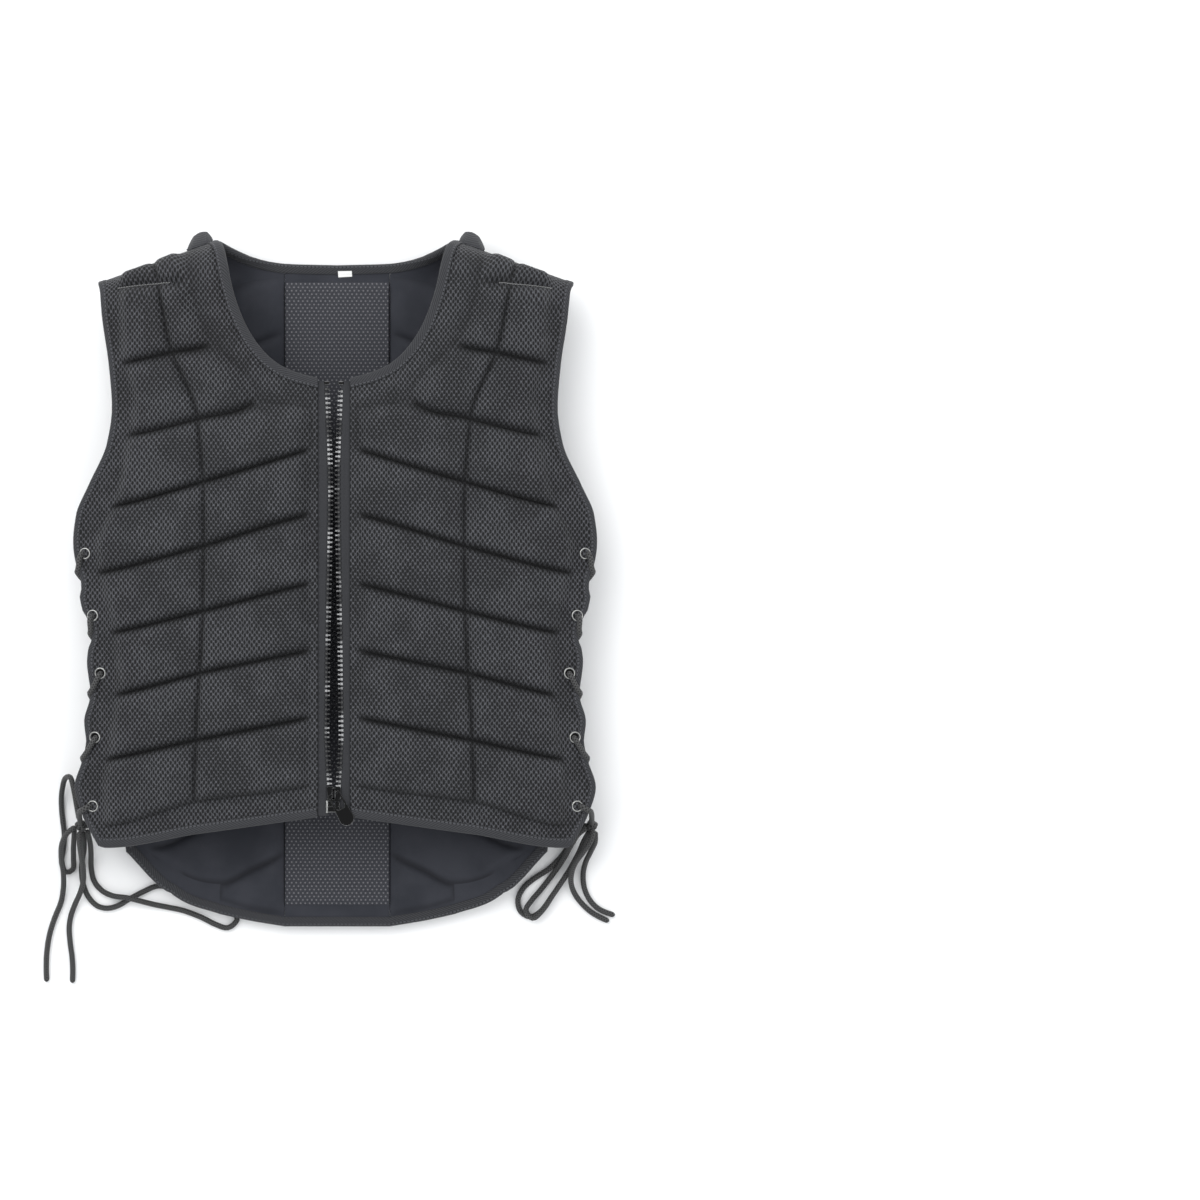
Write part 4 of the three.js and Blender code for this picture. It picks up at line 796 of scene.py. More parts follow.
def pad_relief(x, a, columns, rows, pads, sharp_inner=math.inf):
    """Share of the foam's full rise at each place of a panel's grid, and how much painted shade it gets in a
    seam.
    """
    rise, seam_shade = np.zeros_like(x), np.zeros_like(x)
    for n, (c0, c1, r0, r1) in enumerate(pads):
        part = np.s_[
            nearest(rows, r0):nearest(rows, r1) + 1, nearest(columns, c0):nearest(columns, c1) + 1,
        ]
        px, pa = x[part], a[part]
        climb, run = np.abs(pa[:, -1] - pa[:, 0]), np.abs(px[:, -1] - px[:, 0]) + 1
        slope = np.cos(np.arctan2(climb, run))[:, None]
        far_left, far_right = px - px[:, :1], px[:, -1:] - px
        far_low, far_high = (pa - pa[:1]) * slope, (pa[-1:] - pa) * slope
        full, ends, split, inner = 1.0, 1.0, 0, 0
        for far, column in ((far_left, c0), (far_right, c1)):
            if column == DIVIDER_COLUMN:
                full = full * edge_rise(far, DIVIDER_WIDTH, DIVIDER_DEPTH)
                split = np.maximum(split, near_line(far, SPLIT_WIDTH, SPLIT_SHADE))
            else:
                full = full * smoothstep(far, END_START, END_WIDTH)
                ends = ends * smoothstep(far, SEAM_START, SEAM_FULL)
        full = full * edge_rise(far_low, ROW_WIDTH) * edge_rise(far_high, ROW_WIDTH)
        plump = 0.975 + 0.025 * math.sin(n * 2.4)
        rise[part] = np.maximum(rise[part], full * plump)
        # Painted shade along the pad's lower and upper seams, beside the divider and along the inner edge
        low = near_line(far_low, ABOVE_SEAM, row_line_shade(r0))
        high = near_line(far_high, BELOW_SEAM, row_line_shade(r1))
        if r0 >= sharp_inner and c0 != DIVIDER_COLUMN:
            inner = near_line(far_left, INNER_WIDTH, INNER_SHADE)
        for dark in (np.maximum(low, high) * ends, split, inner):
            seam_shade[part] = np.maximum(seam_shade[part], dark)
    return rise, seam_shade


def ripples(x, a, rise):
    """Small unevenness of the stretched cloth, at most half a millimetre inwards."""
    slow = np.sin(x / 17 + a / 41) * np.sin(a / 23 - x / 37)
    quick = 0.6 * np.sin(x / 7.3 - a / 9.1 + np.sin(a / 31))
    return 0.22 * (slow + quick - 1.6) * (1 - 0.6 * rise)


INSET = 2.2
FOLD_STRETCH, FOLD_RATE = 32.0, 0.8  # cloth drawn tight over the fold: its length, and how much


def panel_object(name, side, x, a, rise, seam_shade, mirror, replaced, outer, inner, inside=PAD_INSIDE):
    """One closed quilted wall: cloth outside, lining inside, and a rim between them."""
    height = WALL / 2 + rise * PAD_RISE + ripples(x, a, rise) * np.clip(rise * 4, 0, 1)
    front = off_wall(side, x, a, height)
    back = off_wall(side, x, a, -WALL / 2 - rise**1.5 * inside)
    points = np.concatenate([front.reshape(-1, 3), back.reshape(-1, 3)])
    count = x.size
    folded = np.clip(a - a[-1:] + FOLD_STRETCH, 0, None)
    drawn = a + FOLD_RATE * folded**2 / FOLD_STRETCH
    uv = np.tile(np.stack([x, drawn], -1).reshape(-1, 2), (2, 1))
    turned = (side[1] < 0) != mirror
    faces = grid_faces(*x.shape, flip=turned) + grid_faces(*x.shape, start=count, flip=not turned)
    sheet = len(faces) // 2
    index = np.arange(count).reshape(x.shape)
    loop = np.concatenate([index[0, :-1], index[:-1, -1], index[-1, :0:-1], index[:0:-1, 0]])
    ahead = np.roll(loop, -1)
    rim = np.stack([loop, loop + count, ahead + count, ahead], -1)
    faces += (rim[:, ::-1] if turned else rim).tolist()
    if mirror:
        points = mirrored(points)
    which = np.zeros(len(faces), int)
    which[sheet:2 * sheet] = 1
    obj = make_object(name, points, faces, uv, which, (outer, inner), seam_shade=np.tile(seam_shade.ravel(), 2))
    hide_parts(*replaced)
    return obj


FRONT_COLUMNS = (
    lambda up: np.maximum(ZIP_EDGE, out_at(FRONT_NECK)(up)),
    out_at(FRONT_PAD_INNER), out_at(FRONT_DIVIDER), out_at(FRONT_PAD_OUTER), laced_side,
)
BACK_COLUMNS = (
    lambda up: SPINE_HALF + CLEAR + 0 * up,
    out_at(BACK_MIDDLE), out_at(BACK_DIVIDER), out_at(BACK_PAD_OUTER), out_at(BACK_SIDE_EDGE),
)
CORNER_ROW, SHARP_ROW = 7, 6
STEP = 3.0
SPINE_TIGHT, SPINE_ROWS, SPINE_ROUND = 0.75, 190, 6

# Widths of the strips between the lines, in millimetres
front_columns = samples([7, 100, 78, 24], STEP)
front_rows = samples([24, 56, 56, 56, 57, 57, 52, 32, 30, 58, 30, 6], STEP)
back_columns = samples([30, 28, 60, 18], STEP)
back_rows = samples([10, 48, 48, 56, 56, 56, 57, 57, 58, 58, 52, 30, 6], STEP)
# Pads as their first and last column and their first and last row
FRONT_PADS = [
    (c, c + 1, low, high) for c in (1, 2)
    for low, high in ((1, 2), (2, 3), (3, 4), (4, 5), (5, 6), (6, 8), (8, 9), (9, 10), (10, 11))
]
BACK_PADS = [(0, 2, 1, 2), (0, 3, 2, 3), (1, 2, 11, 12), (2, 3, 11, 12)] + [
    pad for row in range(3, 11) for pad in ((0, 2, row, row + 1), (2, 3, row, row + 1))
]


def inset(x, a, columns, rows, borders):
    """Moves the cloth in from its bound edges, where the tape goes round it."""
    x, a = x.copy(), a.copy()
    across, up = columns[None, :] + 0 * x, rows[:, None] + 0 * x
    for kind, out in borders.items():
        if kind == "side":
            share, way = np.clip(across - 3, 0, 1) ** 4, out[:, None, :]
        elif kind == "hem":
            share, way = np.clip(1 - up, 0, 1) ** 2, out[None, :, :]
        elif kind == "front_neck":
            share = np.clip(1 - across, 0, 1) ** 3 * (up >= CORNER_ROW)
            way = np.zeros((*x.shape, 2))
            way[-len(out):] = out[:, None, :]
        else:
            share = np.clip(up - rows[-1] + 1, 0, 1) ** 2
            way = np.zeros((*x.shape, 2))
            way[:, :len(out)] = out[None, :, :]
        x -= way[..., 0] * share * INSET
        a -= way[..., 1] * share * INSET
    return x, a


def build_face(face, side, spots, lines, columns, top, pads, neck, sharp_inner=math.inf):
    """Both mirrored panels of a face. Returns where its bound edges run and which way is out."""
    x, a = panel_point(lines, columns, top, *np.meshgrid(*spots))
    borders = {
        "side": (x[:, -1], a[:, -1], 1),
        "hem": (x[0], a[0], 1),
        f"{face}_neck": (x[neck], a[neck], -1),
    }
    out = {kind: outwards(*line) for kind, line in borders.items()}
    out[f"{face}_neck"][0] = (0, 1)
    if face == "back":
        out["hem"][0] = (0, -1)
    rise, seam_shade = pad_relief(x, a, *spots, pads, sharp_inner)
    x, a = inset(x, a, *spots, out)
    for word, sign in SIDES:
        name, solid = f"{face}_{word}_padding", f"{face}_{word}_panel"
        panel_object(name, side, x, a, rise, seam_shade, sign < 0, [solid], OUTER, LINING)
    return {kind: (*borders[kind][:2], out[kind]) for kind in borders}


def build_spine():
    xs = samples([2 * SPINE_HALF], STEP, SPINE_TIGHT) * 2 * SPINE_HALF - SPINE_HALF
    top = back_top(0) - INSET
    low = SPINE_LINES[0] * BODY_LENGTH + INSET
    x, a = np.meshgrid(xs, np.linspace(low, top, SPINE_ROWS))
    rise = np.ones_like(x)
    start, end = SPINE_LINES[1] * BODY_LENGTH, SPINE_LINES[2] * BODY_LENGTH
    for distance in (x + SPINE_HALF, SPINE_HALF - x, a - start, end - a):
        rise = rise * edge_rise(distance, SPINE_ROUND)
    a = np.minimum(a, back_top(x) - INSET)
    panel_object("spine_padding", BACK, x, a, rise, 0 * x, False, ["spine_panel"], FINE, LINING, inside=0)


SEAM_COLUMNS = (1.65, 2.95)
THREAD_RADIUS = 0.5


def build_shoulder_seams():
    """The thread along the top seam of each front shoulder."""
    c = np.linspace(*SEAM_COLUMNS, 40)[None, :]
    x, a = panel_point(FRONT_LINES, FRONT_COLUMNS, shoulder_top, c, SHOULDER_LINE + 0 * c)
    path = off_wall(FRONT, x[0], a[0], WALL / 2 + THREAD_RADIUS)
    for word, sign in SIDES:
        tube(f"shoulder_seam_{word}", path * (sign, 1, 1), THREAD_RADIUS, THREAD, [], sides=8)


front_borders = build_face(
    "front", FRONT, (front_columns, front_rows), FRONT_LINES, FRONT_COLUMNS, shoulder_top, FRONT_PADS,
    np.s_[nearest(front_rows, CORNER_ROW):, 0], SHARP_ROW,
)
back_borders = build_face(
    "back", BACK, (back_columns, back_rows), BACK_LINES, BACK_COLUMNS, back_top, BACK_PADS,
    np.s_[-1, :nearest(back_columns, 1) + 1],
)
build_spine()
build_shoulder_seams()


# Bound edges: a folded tape over each rim
TAPE_WIDTH = 8.5
SIDE_TAPE = 0.68  # width of the side tapes' visible half as a share of the others'
TAPE_HEIGHT = WALL / 2 + 0.8
# Half the tape's section: how far in from the rim, and how high off the wall's middle
TAPE_HALF = [
    (TAPE_WIDTH, WALL / 2 - 0.3), (TAPE_WIDTH, TAPE_HEIGHT - 0.35), (TAPE_WIDTH - 0.4, TAPE_HEIGHT),
    (TAPE_WIDTH - 2.2, TAPE_HEIGHT - 0.12), (TAPE_WIDTH - 4.5, TAPE_HEIGHT + 0.1),
    (2.4, TAPE_HEIGHT + 0.05), (1.1, TAPE_HEIGHT * 0.86), (0.35, TAPE_HEIGHT * 0.55), (0, 0),
]
TAPE_SECTION = np.array(TAPE_HALF + [(t, -h) for t, h in TAPE_HALF[-2::-1]])


def tape_lines(side, x, a, out, wide=1.0):
    t, h = TAPE_SECTION[:, 0] * wide, TAPE_SECTION[:, 1]
    xs = x[:, None] - out[:, :1] * t[None, :]
    ups = a[:, None] - out[:, 1:] * t[None, :]
    return off_wall(side, xs, ups, h[None, :] + 0 * xs)


def tape_object(name, lines, node, flip=False, material=TAPE):
    strip_object(name, lines, material, [node], flip=flip)


def whole(half):
    return np.concatenate([mirrored(half[:0:-1]), half])


def build_tapes():
    side = np.concatenate([
        tape_lines(FRONT, *front_borders["side"], SIDE_TAPE),
        tape_lines(BACK, *back_borders["side"], SIDE_TAPE)[-2::-1],
    ])
    hem = tape_lines(FRONT, *front_borders["hem"])[:-2]
    for word, sign in SIDES:
        tape_object(f"side_tape_{word}", side * (sign, 1, 1), f"side_binding_{word}", sign < 0)
        tape_object(f"front_hem_tape_{word}", hem * (sign, 1, 1), f"front_hem_binding_{word}", sign > 0)
    xs = np.linspace(0, SPINE_HALF, 14)
    flat = np.zeros_like(xs)
    low = SPINE_LINES[0] * BODY_LENGTH
    spine_hem = tape_lines(BACK, xs, low + flat, np.stack([flat, flat - 1], -1))
    back_hem = tape_lines(BACK, *back_borders["hem"])[1:]
    tape_object("back_hem_tape", whole(np.concatenate([spine_hem, back_hem])), "back_hem_binding")
    spine_neck = tape_lines(BACK, xs, back_top(xs), np.stack([flat, flat + 1], -1))
    back_neck = tape_lines(BACK, *back_borders["back_neck"])[1:-1]
    front_neck = tape_lines(FRONT, *front_borders["front_neck"])[::-1]
    neck = whole(np.concatenate([spine_neck, back_neck, front_neck]))
    tape_object("neck_tape", neck, "neck_binding", True)


build_tapes()


# Spine lining
def build_spine_lining():
    half, start = SPINE_HALF - CLEAR, WALL / 2 + CLEAR
    full = start + LINING_THICK
    section = table("across height", [
        (-half, start), (-half, full - 0.9), (0.9 - half, full), (3 - half, full - 0.25),
        (half - 3, full - 0.25), (half - 0.9, full), (half, full - 0.9), (half, start),
    ])
    corners = np.arange(len(section["across"]))
    fine = np.arange(0, corners[-1] + 1e-9, 0.25)
    xs = np.interp(fine, corners, section["across"])
    heights = np.interp(fine, corners, section["height"])[None, :]
    ups = np.linspace(*LINING_SPAN, 160) * BODY_LENGTH
    x, a = np.meshgrid(xs, ups)
    drop = 1 - edge_rise(np.minimum(a - a[0, 0], a[-1, 0] - a), LINING_THICK)
    lines = off_wall(BACK, x, a, drop * (heights - start) - heights)
    across = xs - xs[0]
    strip_object("spine_lining_cover", lines, DOTTED, ["spine_lining"], along=ups, across=across)


build_spine_lining()


# Eyelets
class Eyelet:
    def __init__(self, side, border, up):
        self.side, self.border = side, border
        self.a = up * BODY_LENGTH
        rows = FRONT_SIDE_EDGE if side is FRONT else BACK_SIDE_EDGE
        self.x = float(np.interp(up, rows["up"], rows["out"])) * CHEST_HALF - EYELET_INSET


front_eyelets = [Eyelet(FRONT, front_borders["side"], up) for up in FRONT_EYELETS]
back_eyelets = [Eyelet(BACK, back_borders["side"], up) for up in BACK_EYELETS]
# Each eyelet's opening is closed by a near-black disc: painted shade inside the hole
HOLE_SHADE = Shader("eyelet_hole_shade", (0.004, 0.004, 0.004), 0.9)
HOLE_SHADE.colour(HOLE_SHADE.blend(HOLE_SHADE.noise(1.0), (0.003, 0.003, 0.003, 1), (0.006, 0.006, 0.006, 1)))


# The ring's section: how far out from the hole's middle, and how high on the cloth
RING = [
    (EYELET_HOLE - 0.15, -2.2), (EYELET_HOLE - 0.15, -1.5), (EYELET_HOLE, -0.8), (EYELET_OUTER - 1.3, 0.75),
    (EYELET_OUTER - 0.95, EYELET_THICK), (EYELET_OUTER - 0.5, 0.85), (EYELET_OUTER - 0.12, 0.35),
    (EYELET_OUTER, 0.0),
]
RING_SIDES, DISC_DEPTH = 32, 0.25


def build_eyelet(e, sign, label):
    low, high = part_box(f"eyelet_{label}")
    middle = off_wall(e.side, e.x, e.a, WALL / 2 + CLEAR)
    middle[0] = abs(low.x + high.x) * 500
    n = normal_at(e.side, np.array(e.x), np.array(e.a))
    u = unit(np.cross([0, 1, 0], n))
    v = np.cross(n, u)
    spokes = [math.cos(t) * u + math.sin(t) * v for t in np.linspace(0, 2 * math.pi, RING_SIDES + 1)]
    lines = np.array([[middle + out * spoke + up * n for out, up in RING] for spoke in spokes])
    name = f"eyelet_ring_{label}"
    strip_object(name, lines * (sign, 1, 1), NICKEL, [f"eyelet_{label}"], flip=sign < 0)
    # The disc of painted shade, just below the ring, across the hole
    centre = middle - DISC_DEPTH * n
    disc = np.array([centre] + [centre + EYELET_HOLE * spoke for spoke in spokes[:-1]]) * (sign, 1, 1)
    faces = [(0, k, k % RING_SIDES + 1) for k in range(1, RING_SIDES + 1)]
    plug = make_object(f"eyelet_opening_{label}", disc, faces, materials=[HOLE_SHADE.material])


def build_eyelets():
    for face, places in (("front", front_eyelets), ("back", back_eyelets)):
        for word, sign in SIDES:
            for number, e in enumerate(places, 1):
                build_eyelet(e, sign, f"{face}_{word}_{number}")


build_eyelets()


# Laces through the eyelets
def lace_stop(e, out, along, height):
    x, a = np.array(e.x), np.array(e.a)
    place = e.side[0](x, a) + direction_at(e.side, x, a, 1, 0) * out + normal_at(e.side, x, a) * height
    return place + np.array([0, along, 0])


UNDER = -LACE_STAND - LACE * 0.62  # the lace's middle where it runs beneath the cloth


def leaving(e, y):
    lean = (y - e.a) * LACE_LEAN
    x, a, _ = e.border
    edge = float(np.interp(e.a + lean, a, x)) - e.x
    stops = (
        (0, 0, LACE_STAND - 1.5), (LACE / 3, lean / 5, LACE_STAND + LACE * 0.5),
        (edge * 0.7, lean * 0.8, LACE_STAND + LACE * 0.3), (edge + LACE * 0.5, lean * 1.1, 0),
    )
    return [lace_stop(e, *stop) for stop in stops]


def arriving(e, y):
    lean = (y - e.a) * LACE_LEAN
    stops = ((EYELET_INSET * 0.9, lean, UNDER), (LACE / 2, lean / 4, UNDER), (0, 0, -LACE_STAND))
    return [lace_stop(e, *stop) for stop in stops]


def lace_half(order):
    points = []
    for here, there in zip(order, order[1:]):
        points += leaving(here, there.a) + arriving(there, here.a)
    points += leaving(order[-1], KNOT.y)
    towards = unit(points[-1] - np.array(KNOT))
    return points + [np.array(KNOT) + towards * (KNOT_RADIUS - 1.5)]


def lace_line():
    f, b = front_eyelets, back_eyelets
    first = lace_half([f[0], b[1], f[2], b[3], f[4]])
    second = lace_half([b[0], f[1], b[2], f[3], b[4]])
    bar = [[lace_stop(e, 0, 0, -LACE_STAND), lace_stop(e, LACE / 2, LACE / 2, UNDER)] for e in (f[0], b[0])]
    return np.array(first[::-1] + bar[0] + bar[1][::-1] + second)


def build_laces():
    path = rounded(lace_line(), 3)
    for word, sign in SIDES:
        tube(f"side_lacing_{word}", path * (sign, 1, 1), LACE / 2, BRAID, [f"side_lace_{word}"], sides=12)


# The bows' knots: turns of lace round three axes, each moved along its own
KNOT_WRAPS = table("axis_x axis_y axis_z radius shift", [
    (0.9, 0.1, 0.3, 3.2, -1.2), (0.55, -0.75, 0.2, 3.4, 0.8), (0.2, 0.3, 1, 2.6, 1.6),
])
WRAP_THICK, WRAP_OVAL = 0.95, 0.9


def build_knots():
    turns = np.linspace(0, 2 * math.pi, 29)[:-2]
    for word, sign in SIDES:
        middle = np.array(KNOT) * (sign, 1, 1)
        for number, (*axis, radius, shift) in enumerate(zip(*KNOT_WRAPS.values()), 1):
            n = unit(np.array(axis) * (sign, 1, 1))
            u = unit(np.cross(n, [0.3, 0.2, 0.9]))
            v = np.cross(n, u)
            loop = [
                middle + n * shift + radius * (math.cos(t) * u + WRAP_OVAL * math.sin(t) * v) for t in turns
            ]
            replaced = [f"lace_knot_{word}"] if number == 1 else []
            name = f"lace_knot_wrap_{word}_{number}"
            tube(name, loop, LACE / 2 * WRAP_THICK, BRAID, replaced, sides=12)


build_laces()
build_knots()


# Zip
slider_y = SLIDER_UP * BODY_LENGTH
chain_start = slider_y + SLIDER_LENGTH / 2 + CLEAR
neck_corner = float(FRONT_LINES["edge"][CORNER_ROW]) * BODY_LENGTH - BINDING
chain_end = neck_corner - STOP_LENGTH - CLEAR
TOOTH_PITCH = 4.0


def gap_at(y):
    share = (y - chain_start) / (neck_corner - chain_start)
    return np.interp(share, CHAIN_GAPS["along"], CHAIN_GAPS["gap"]) * ZIP_GAP * 0.5


def box_points(low, high, bevel):
    """Corner points and faces of a box with cut edges."""
    (x_low, y_low, z_low), (x_high, y_high, z_high) = low, high
    side = bevel * 0.8
    points = []
    for z, cut in ((z_low, bevel), (z_low + bevel, 0), (z_high - bevel, 0), (z_high, bevel)):
        x0, x1, y0, y1 = x_low + cut, x_high - cut, y_low + cut, y_high - cut
        points += [
            (x0 + side, y0, z), (x1 - side, y0, z), (x1, y0 + side, z), (x1, y1 - side, z),
            (x1 - side, y1, z), (x0 + side, y1, z), (x0, y1 - side, z), (x0, y0 + side, z),
        ]
    faces = []
    for ring in (0, 8, 16):
        for k in range(8):
            a, b = ring + k, ring + (k + 1) % 8
            faces.append((a, b, b + 8, a + 8))
    return points, faces + [tuple(range(7, -1, -1)), tuple(range(24, 32))]


def box_object(name, boxes, material, replaced=(), mirror=False):
    """A flat-shaded piece of boxes, each with its low corner, high corner and bevel."""
    points, faces = [], []
    for box in boxes:
        new_points, new_faces = box_points(*box)
        faces += [tuple(i + len(points) for i in face) for face in new_faces]
        points += new_points
    points = np.array(points)
    if mirror:
        points, faces = mirrored(points), [face[::-1] for face in faces]
    obj = make_object(name, points, faces, materials=[material])
    obj.data.polygons.foreach_set("use_smooth", [False] * len(faces))
    if replaced:
        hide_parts(*replaced)


# One side's tape from its inner edge to its outer one, and its height over the crown
ZIP_CLOTH = table("across up", [
    (0, -0.5), (0, 0.3), (0.06, 0.55), (0.2, 0.6), (0.26, 1.2), (0.34, 1.25), (0.46, 0.75), (0.75, 0.7),
    (0.97, 0.6), (1, 0.3), (1, -0.5),
])
TAPE_BESIDE_TEETH = 2.7


def tooth(near, y):
    """A tooth's head, and the wider foot that grips the tape."""
    z = FRONT_CROWN
    return [
        ((near + 0.1, y - 0.75, z - 1.15), (near + 2.6, y + 0.75, z + 1.15), 0.3),
        ((near + 2.3, y - 1.15, z - 1.5), (near + CHAIN_WIDTH - 0.2, y + 1.15, z + 1.5), 0.3),
    ]


def zip_cloth():
    hem_y = float(front_borders["hem"][1][0]) + 1
    ys = np.concatenate([np.linspace(hem_y, chain_start, 24), np.linspace(chain_start + 2, neck_corner, 130)])
    inner = gap_at(ys) + TAPE_BESIDE_TEETH
    across, up = ZIP_CLOTH["across"], ZIP_CLOTH["up"]
    xs = inner[:, None] + (ZIP_EDGE + 1.2 - inner)[:, None] * across[None, :]
    wave = 0.12 * np.sin(ys / 6.1)[:, None] * np.sin(across * 5)[None, :]
    return np.stack([xs, ys[:, None] + 0 * xs, FRONT_CROWN - 0.3 + up[None, :] + wave], -1)


def build_zip():
    lines = zip_cloth()
    for word, sign in SIDES:
        start = chain_start + (0 if sign > 0 else TOOTH_PITCH / 2)
        places = np.arange(start, chain_end - TOOTH_PITCH / 2, TOOTH_PITCH)
        teeth = [box for y in places for box in tooth(float(gap_at(y)), y)]
        box_object(f"zip_teeth_{word}", teeth, TEETH, [f"zip_chain_{word}"], sign < 0)
        name = f"zip_cloth_{word}"
        strip_object(name, lines * (sign, 1, 1), ZIP_TAPE, [f"zip_tape_{word}"], flip=sign > 0)
        stop = (*solid_box(f"zip_top_stop_{word}"), 0.5)
        box_object(f"zip_end_stop_{word}", [stop], GUNMETAL, [f"zip_top_stop_{word}"])


def outline_object(
    name, loops, thickness, bevel, material, replaced, place, turn=(0, 0, 0), body="vest",
):
    """A flat plate with rounded edges from closed outlines, the first one round the rest."""
    data = bpy.data.curves.new(name, "CURVE")
    data.dimensions, data.fill_mode = "2D", "BOTH"
    data.extrude = (thickness / 2 - bevel) / 1000
    data.bevel_depth, data.bevel_resolution = bevel / 1000, 2
    data.offset = -bevel / 1000
    for loop in loops:
        spline = data.splines.new("POLY")
        spline.points.add(len(loop) - 1)
        for point, (x, y) in zip(spline.points, loop):
            point.co = (x / 1000, y / 1000, 0, 1)
        spline.use_cyclic_u = True
    data.materials.append(material)
    obj = link_object(name, data)
    obj.location = to_row(place)
    obj.rotation_euler = turn
    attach(obj, body)
    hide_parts(*replaced)
    return obj


def arc(cx, cy, radius, start, end, count=18):
    return [(cx + radius * math.cos(t), cy + radius * math.sin(t)) for t in np.linspace(start, end, count)]


PULL_LENGTH, PULL_WIDTH, PULL_NECK, PULL_BAR = 31, 13, 10, 2.2
PULL_THICK, PULL_WINDOW, PULL_WINDOW_WIDTH = 1.8, 13, 8.2
SLIDER_ABOVE, SLIDER_BELOW = 3.2, 3.4
BRIDGE_WIDTH, BRIDGE_FOOT, BRIDGE_BAR = 3, 2.2, 1.4
crossbar_swing = math.hypot(PULL_THICK, PULL_BAR) / 2 + CLEAR
crossbar_z = FRONT_CROWN + SLIDER_ABOVE + crossbar_swing
YAW = math.radians(28)
SHOULDER_ROUND, FOOT_ROUND, PLATE, CHEEK = 1.6, 1.3, 1.8, 1.2


def slider_outline():
    """A shield with two round shoulders and a notch between them, narrower at its foot."""
    w, l = SLIDER_WIDTH / 2, SLIDER_LENGTH / 2
    shoulder, foot = w - SHOULDER_ROUND, w - FOOT_ROUND * 2
    top, low, quarter = l - SHOULDER_ROUND, FOOT_ROUND - l, math.pi / 2
    points = [(-w, l - 2)] + arc(-shoulder, top, SHOULDER_ROUND, math.pi, quarter, 6)
    points += [(-1.4, l), (0, l - 1.2), (1.4, l)] + arc(shoulder, top, SHOULDER_ROUND, quarter, 0, 6)
    points += [(w, l - 2), (w - 0.4, 0), (w - FOOT_ROUND, 1.4 - l)]
    points += arc(foot, low, FOOT_ROUND, 0, -quarter, 5)
    points += arc(-foot, low, FOOT_ROUND, -quarter, -math.pi, 5)
    return points + [(FOOT_ROUND - w, 1.4 - l), (0.4 - w, 0)]


def build_slider():
    w, l = SLIDER_WIDTH / 2, SLIDER_LENGTH / 2
    plates = (("top", SLIDER_ABOVE - PLATE / 2, ["zip_slider"]), ("bottom", PLATE / 2 - SLIDER_BELOW, []))
    for word, z, replaced in plates:
        outline_object(
            f"zip_slider_{word}", [slider_outline()], PLATE, 0.4, GUNMETAL, replaced,
            (0, slider_y, FRONT_CROWN + z),
        )
    y0, y1 = slider_y - l + 2, slider_y + l - 2.2
    boxes = [
        ((x, y0, FRONT_CROWN - 2.6), (x + CHEEK, y1, FRONT_CROWN + 2.4), 0.3) for x in (-w + 0.2, w - 1.4)
    ]
    foot_gap = BRIDGE_WIDTH / 2 * math.tan(YAW) + crossbar_swing / math.cos(YAW)
    base, under = FRONT_CROWN + SLIDER_ABOVE, crossbar_z + crossbar_swing
    top = under + BRIDGE_BAR
    b = BRIDGE_WIDTH / 2
    for end in (-1, 1):
        y0, y1 = sorted((slider_y + end * foot_gap, slider_y + end * (foot_gap + BRIDGE_FOOT)))
        boxes.append(((-b, y0, base - 1), (b, y1, top), 0.35))
    reach = foot_gap + BRIDGE_FOOT
    boxes.append(((-b, slider_y - reach, under), (b, slider_y + reach, top), 0.35))
    box_object("zip_slider_bridge", boxes, GUNMETAL)


def build_pull():
    """The tab, with a neck at its crossbar, a round tip and a window whose foot is rounder than its top."""
    top, tip = PULL_BAR / 2, PULL_BAR / 2 - PULL_LENGTH
    bend = tip + PULL_WIDTH / 2
    neck, quarter = PULL_NECK / 2 + CLEAR, math.pi / 2
    outline = [(-neck, top)] + arc(0, bend, PULL_WIDTH / 2, math.pi, 2 * math.pi, 26) + [(neck, top)]
    side, low, high = PULL_WINDOW_WIDTH / 2, -PULL_BAR / 2 - PULL_WINDOW, -PULL_BAR / 2
    small, large = 1, 2.2
    window = arc(small - side, high - small, small, math.pi, quarter, 5)
    window += arc(side - small, high - small, small, quarter, 0, 5)
    window += arc(side - large, low + large, large, 0, -quarter, 7)
    window += arc(large - side, low + large, large, -quarter, -math.pi, 7)
    outline_object(
        "zip_pull_tab", [outline, window], PULL_THICK, 0.6, GUNMETAL, ["zip_pull"],
        (0, slider_y, crossbar_z), (math.radians(2), 0, YAW), body="zip_pull",
    )


def build_zip_box():
    (x0, y0, z0), (x1, y1, z1) = solid_box("zip_box")
    middle = (y0 + y1) / 2
    boxes = [
        ((x0, y0, z0), (x1, middle + 0.6, z1), 0.5),
        ((x0 + 0.5, middle + 0.2, z0 + 0.8), (-1.2, y1, z1 - 0.8), 0.4),
        ((1.0, middle + 0.2, z0 + 0.6), (x1 - 0.6, y1, z1 - 0.6), 0.4),
    ]
    box_object("zip_insertion_box", boxes, GUNMETAL, ["zip_box"])
    # The pin is bright nickel beside the dark box: a painted glint along the box's left side
    pin = ((x0 - 1.4, y0 - 0.5, z0 + 0.5), (x0 + 0.6, y1 + 1, z1), 0.5)
    box_object("zip_retaining_pin", [pin], NICKEL)


build_zip()
build_slider()
build_pull()
build_zip_box()


# Hanging loops and label
LOOP_LEAN = 1.05  # how far the ribbon tips back, for each millimetre of its width
RIBBON_RISE = LOOP_RISE * 0.55
RIBBON_ARCH = table("along rise", [(0, 0), (0.25, 0.92), (0.5, 1), (0.75, 0.92), (1, 0)])


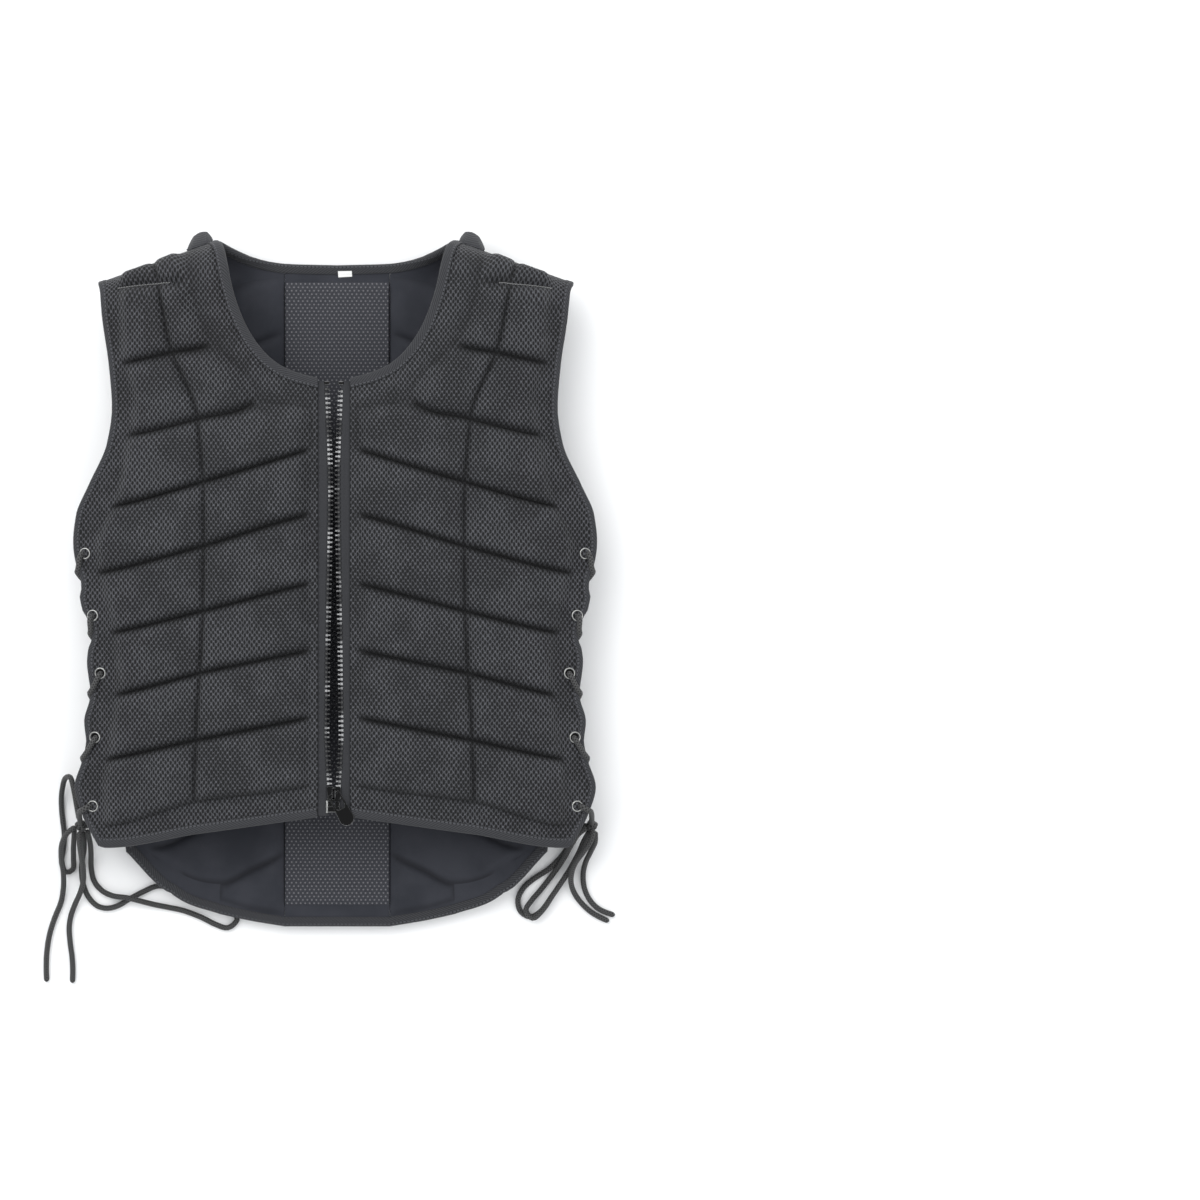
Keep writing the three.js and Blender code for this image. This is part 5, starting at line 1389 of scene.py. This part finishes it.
def build_hanging_loops():
    along = np.linspace(0, 1, 33)
    rise = np.interp(along, RIBBON_ARCH["along"], RIBBON_ARCH["rise"])
    x = NECK_HALF + BINDING + 2 + along * LOOP_SPAN
    y = shoulder_top(x) + WALL / 2 + CLEAR + rise * RIBBON_RISE
    line = rounded(np.stack([x, y, 0 * x], -1), 2)
    ahead = unit(np.gradient(line, axis=0))
    out = np.stack([-ahead[:, 1], ahead[:, 0], 0 * ahead[:, 0]], -1)
    z0, z1 = FOLD_HEIGHT - LOOP_WIDTH / 2, FOLD_HEIGHT + LOOP_WIDTH / 2
    section = [
        (0, z0), (0.4, z0 - 0.3), (1.2, z0 - 0.3), (1.6, z0), (1.6, z1), (1.2, z1 + 0.3), (0.4, z1 + 0.3),
        (0, z1), (0, z0),
    ]
    lean = LOOP_LEAN * np.sqrt(np.sin(math.pi * np.linspace(0, 1, len(line))))
    lines = np.array([
        [place + n * t + np.array([0, (FOLD_HEIGHT - z) * tilt, z]) for t, z in section]
        for place, n, tilt in zip(line, out, lean)
    ])
    for word, sign in SIDES:
        placed = lines * (sign, 1, 1)
        tape_object(f"hanging_ribbon_{word}", placed, f"hanging_loop_{word}", sign > 0, RIBBON)


build_hanging_loops()
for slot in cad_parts["neck_label"].material_slots:
    slot.material = LABEL


# Floor, light and finish, in metres
FLOOR_HALF, FLOOR_DROP = 6, 0.0004
LIGHTS = (  # name, place, size, power
    ("key", (-0.9, 1.2, 2.1), 2.2, 40),
    ("fill", (1.6, -0.6, 2.0), 2.2, 12),
    ("rim", (0.3, 2.2, 1.1), 1.4, 6),
)


def build_studio():
    s = Shader("floor", (0.92, 0.92, 0.92), 0.85)
    s.colour(s.blend(s.noise(400), (0.91, 0.91, 0.91, 1), (0.93, 0.93, 0.93, 1)))
    mesh = bpy.data.meshes.new("floor")
    corners = [(x * FLOOR_HALF, y * FLOOR_HALF, -FLOOR_DROP) for x, y in ((-1, -1), (1, -1), (1, 1), (-1, 1))]
    mesh.from_pydata(corners, [], [(0, 1, 2, 3)])
    mesh.materials.append(s.material)
    link_object("floor", mesh)
    world = bpy.data.worlds.new("studio")
    world.use_nodes = True
    world.node_tree.nodes["Background"].inputs["Color"].default_value = (0.96, 0.98, 1, 1)
    world.node_tree.nodes["Background"].inputs["Strength"].default_value = 1.0
    bpy.context.scene.world = world
    for name, place, size, power in LIGHTS:
        data = bpy.data.lights.new(name, "AREA")
        data.size, data.energy = size, power
        light = link_object(name, data)
        light.location = place
        light.rotation_euler = (-Vector(place)).to_track_quat("-Z", "Y").to_euler()
    bpy.context.scene.view_settings.view_transform = "Standard"


build_studio()
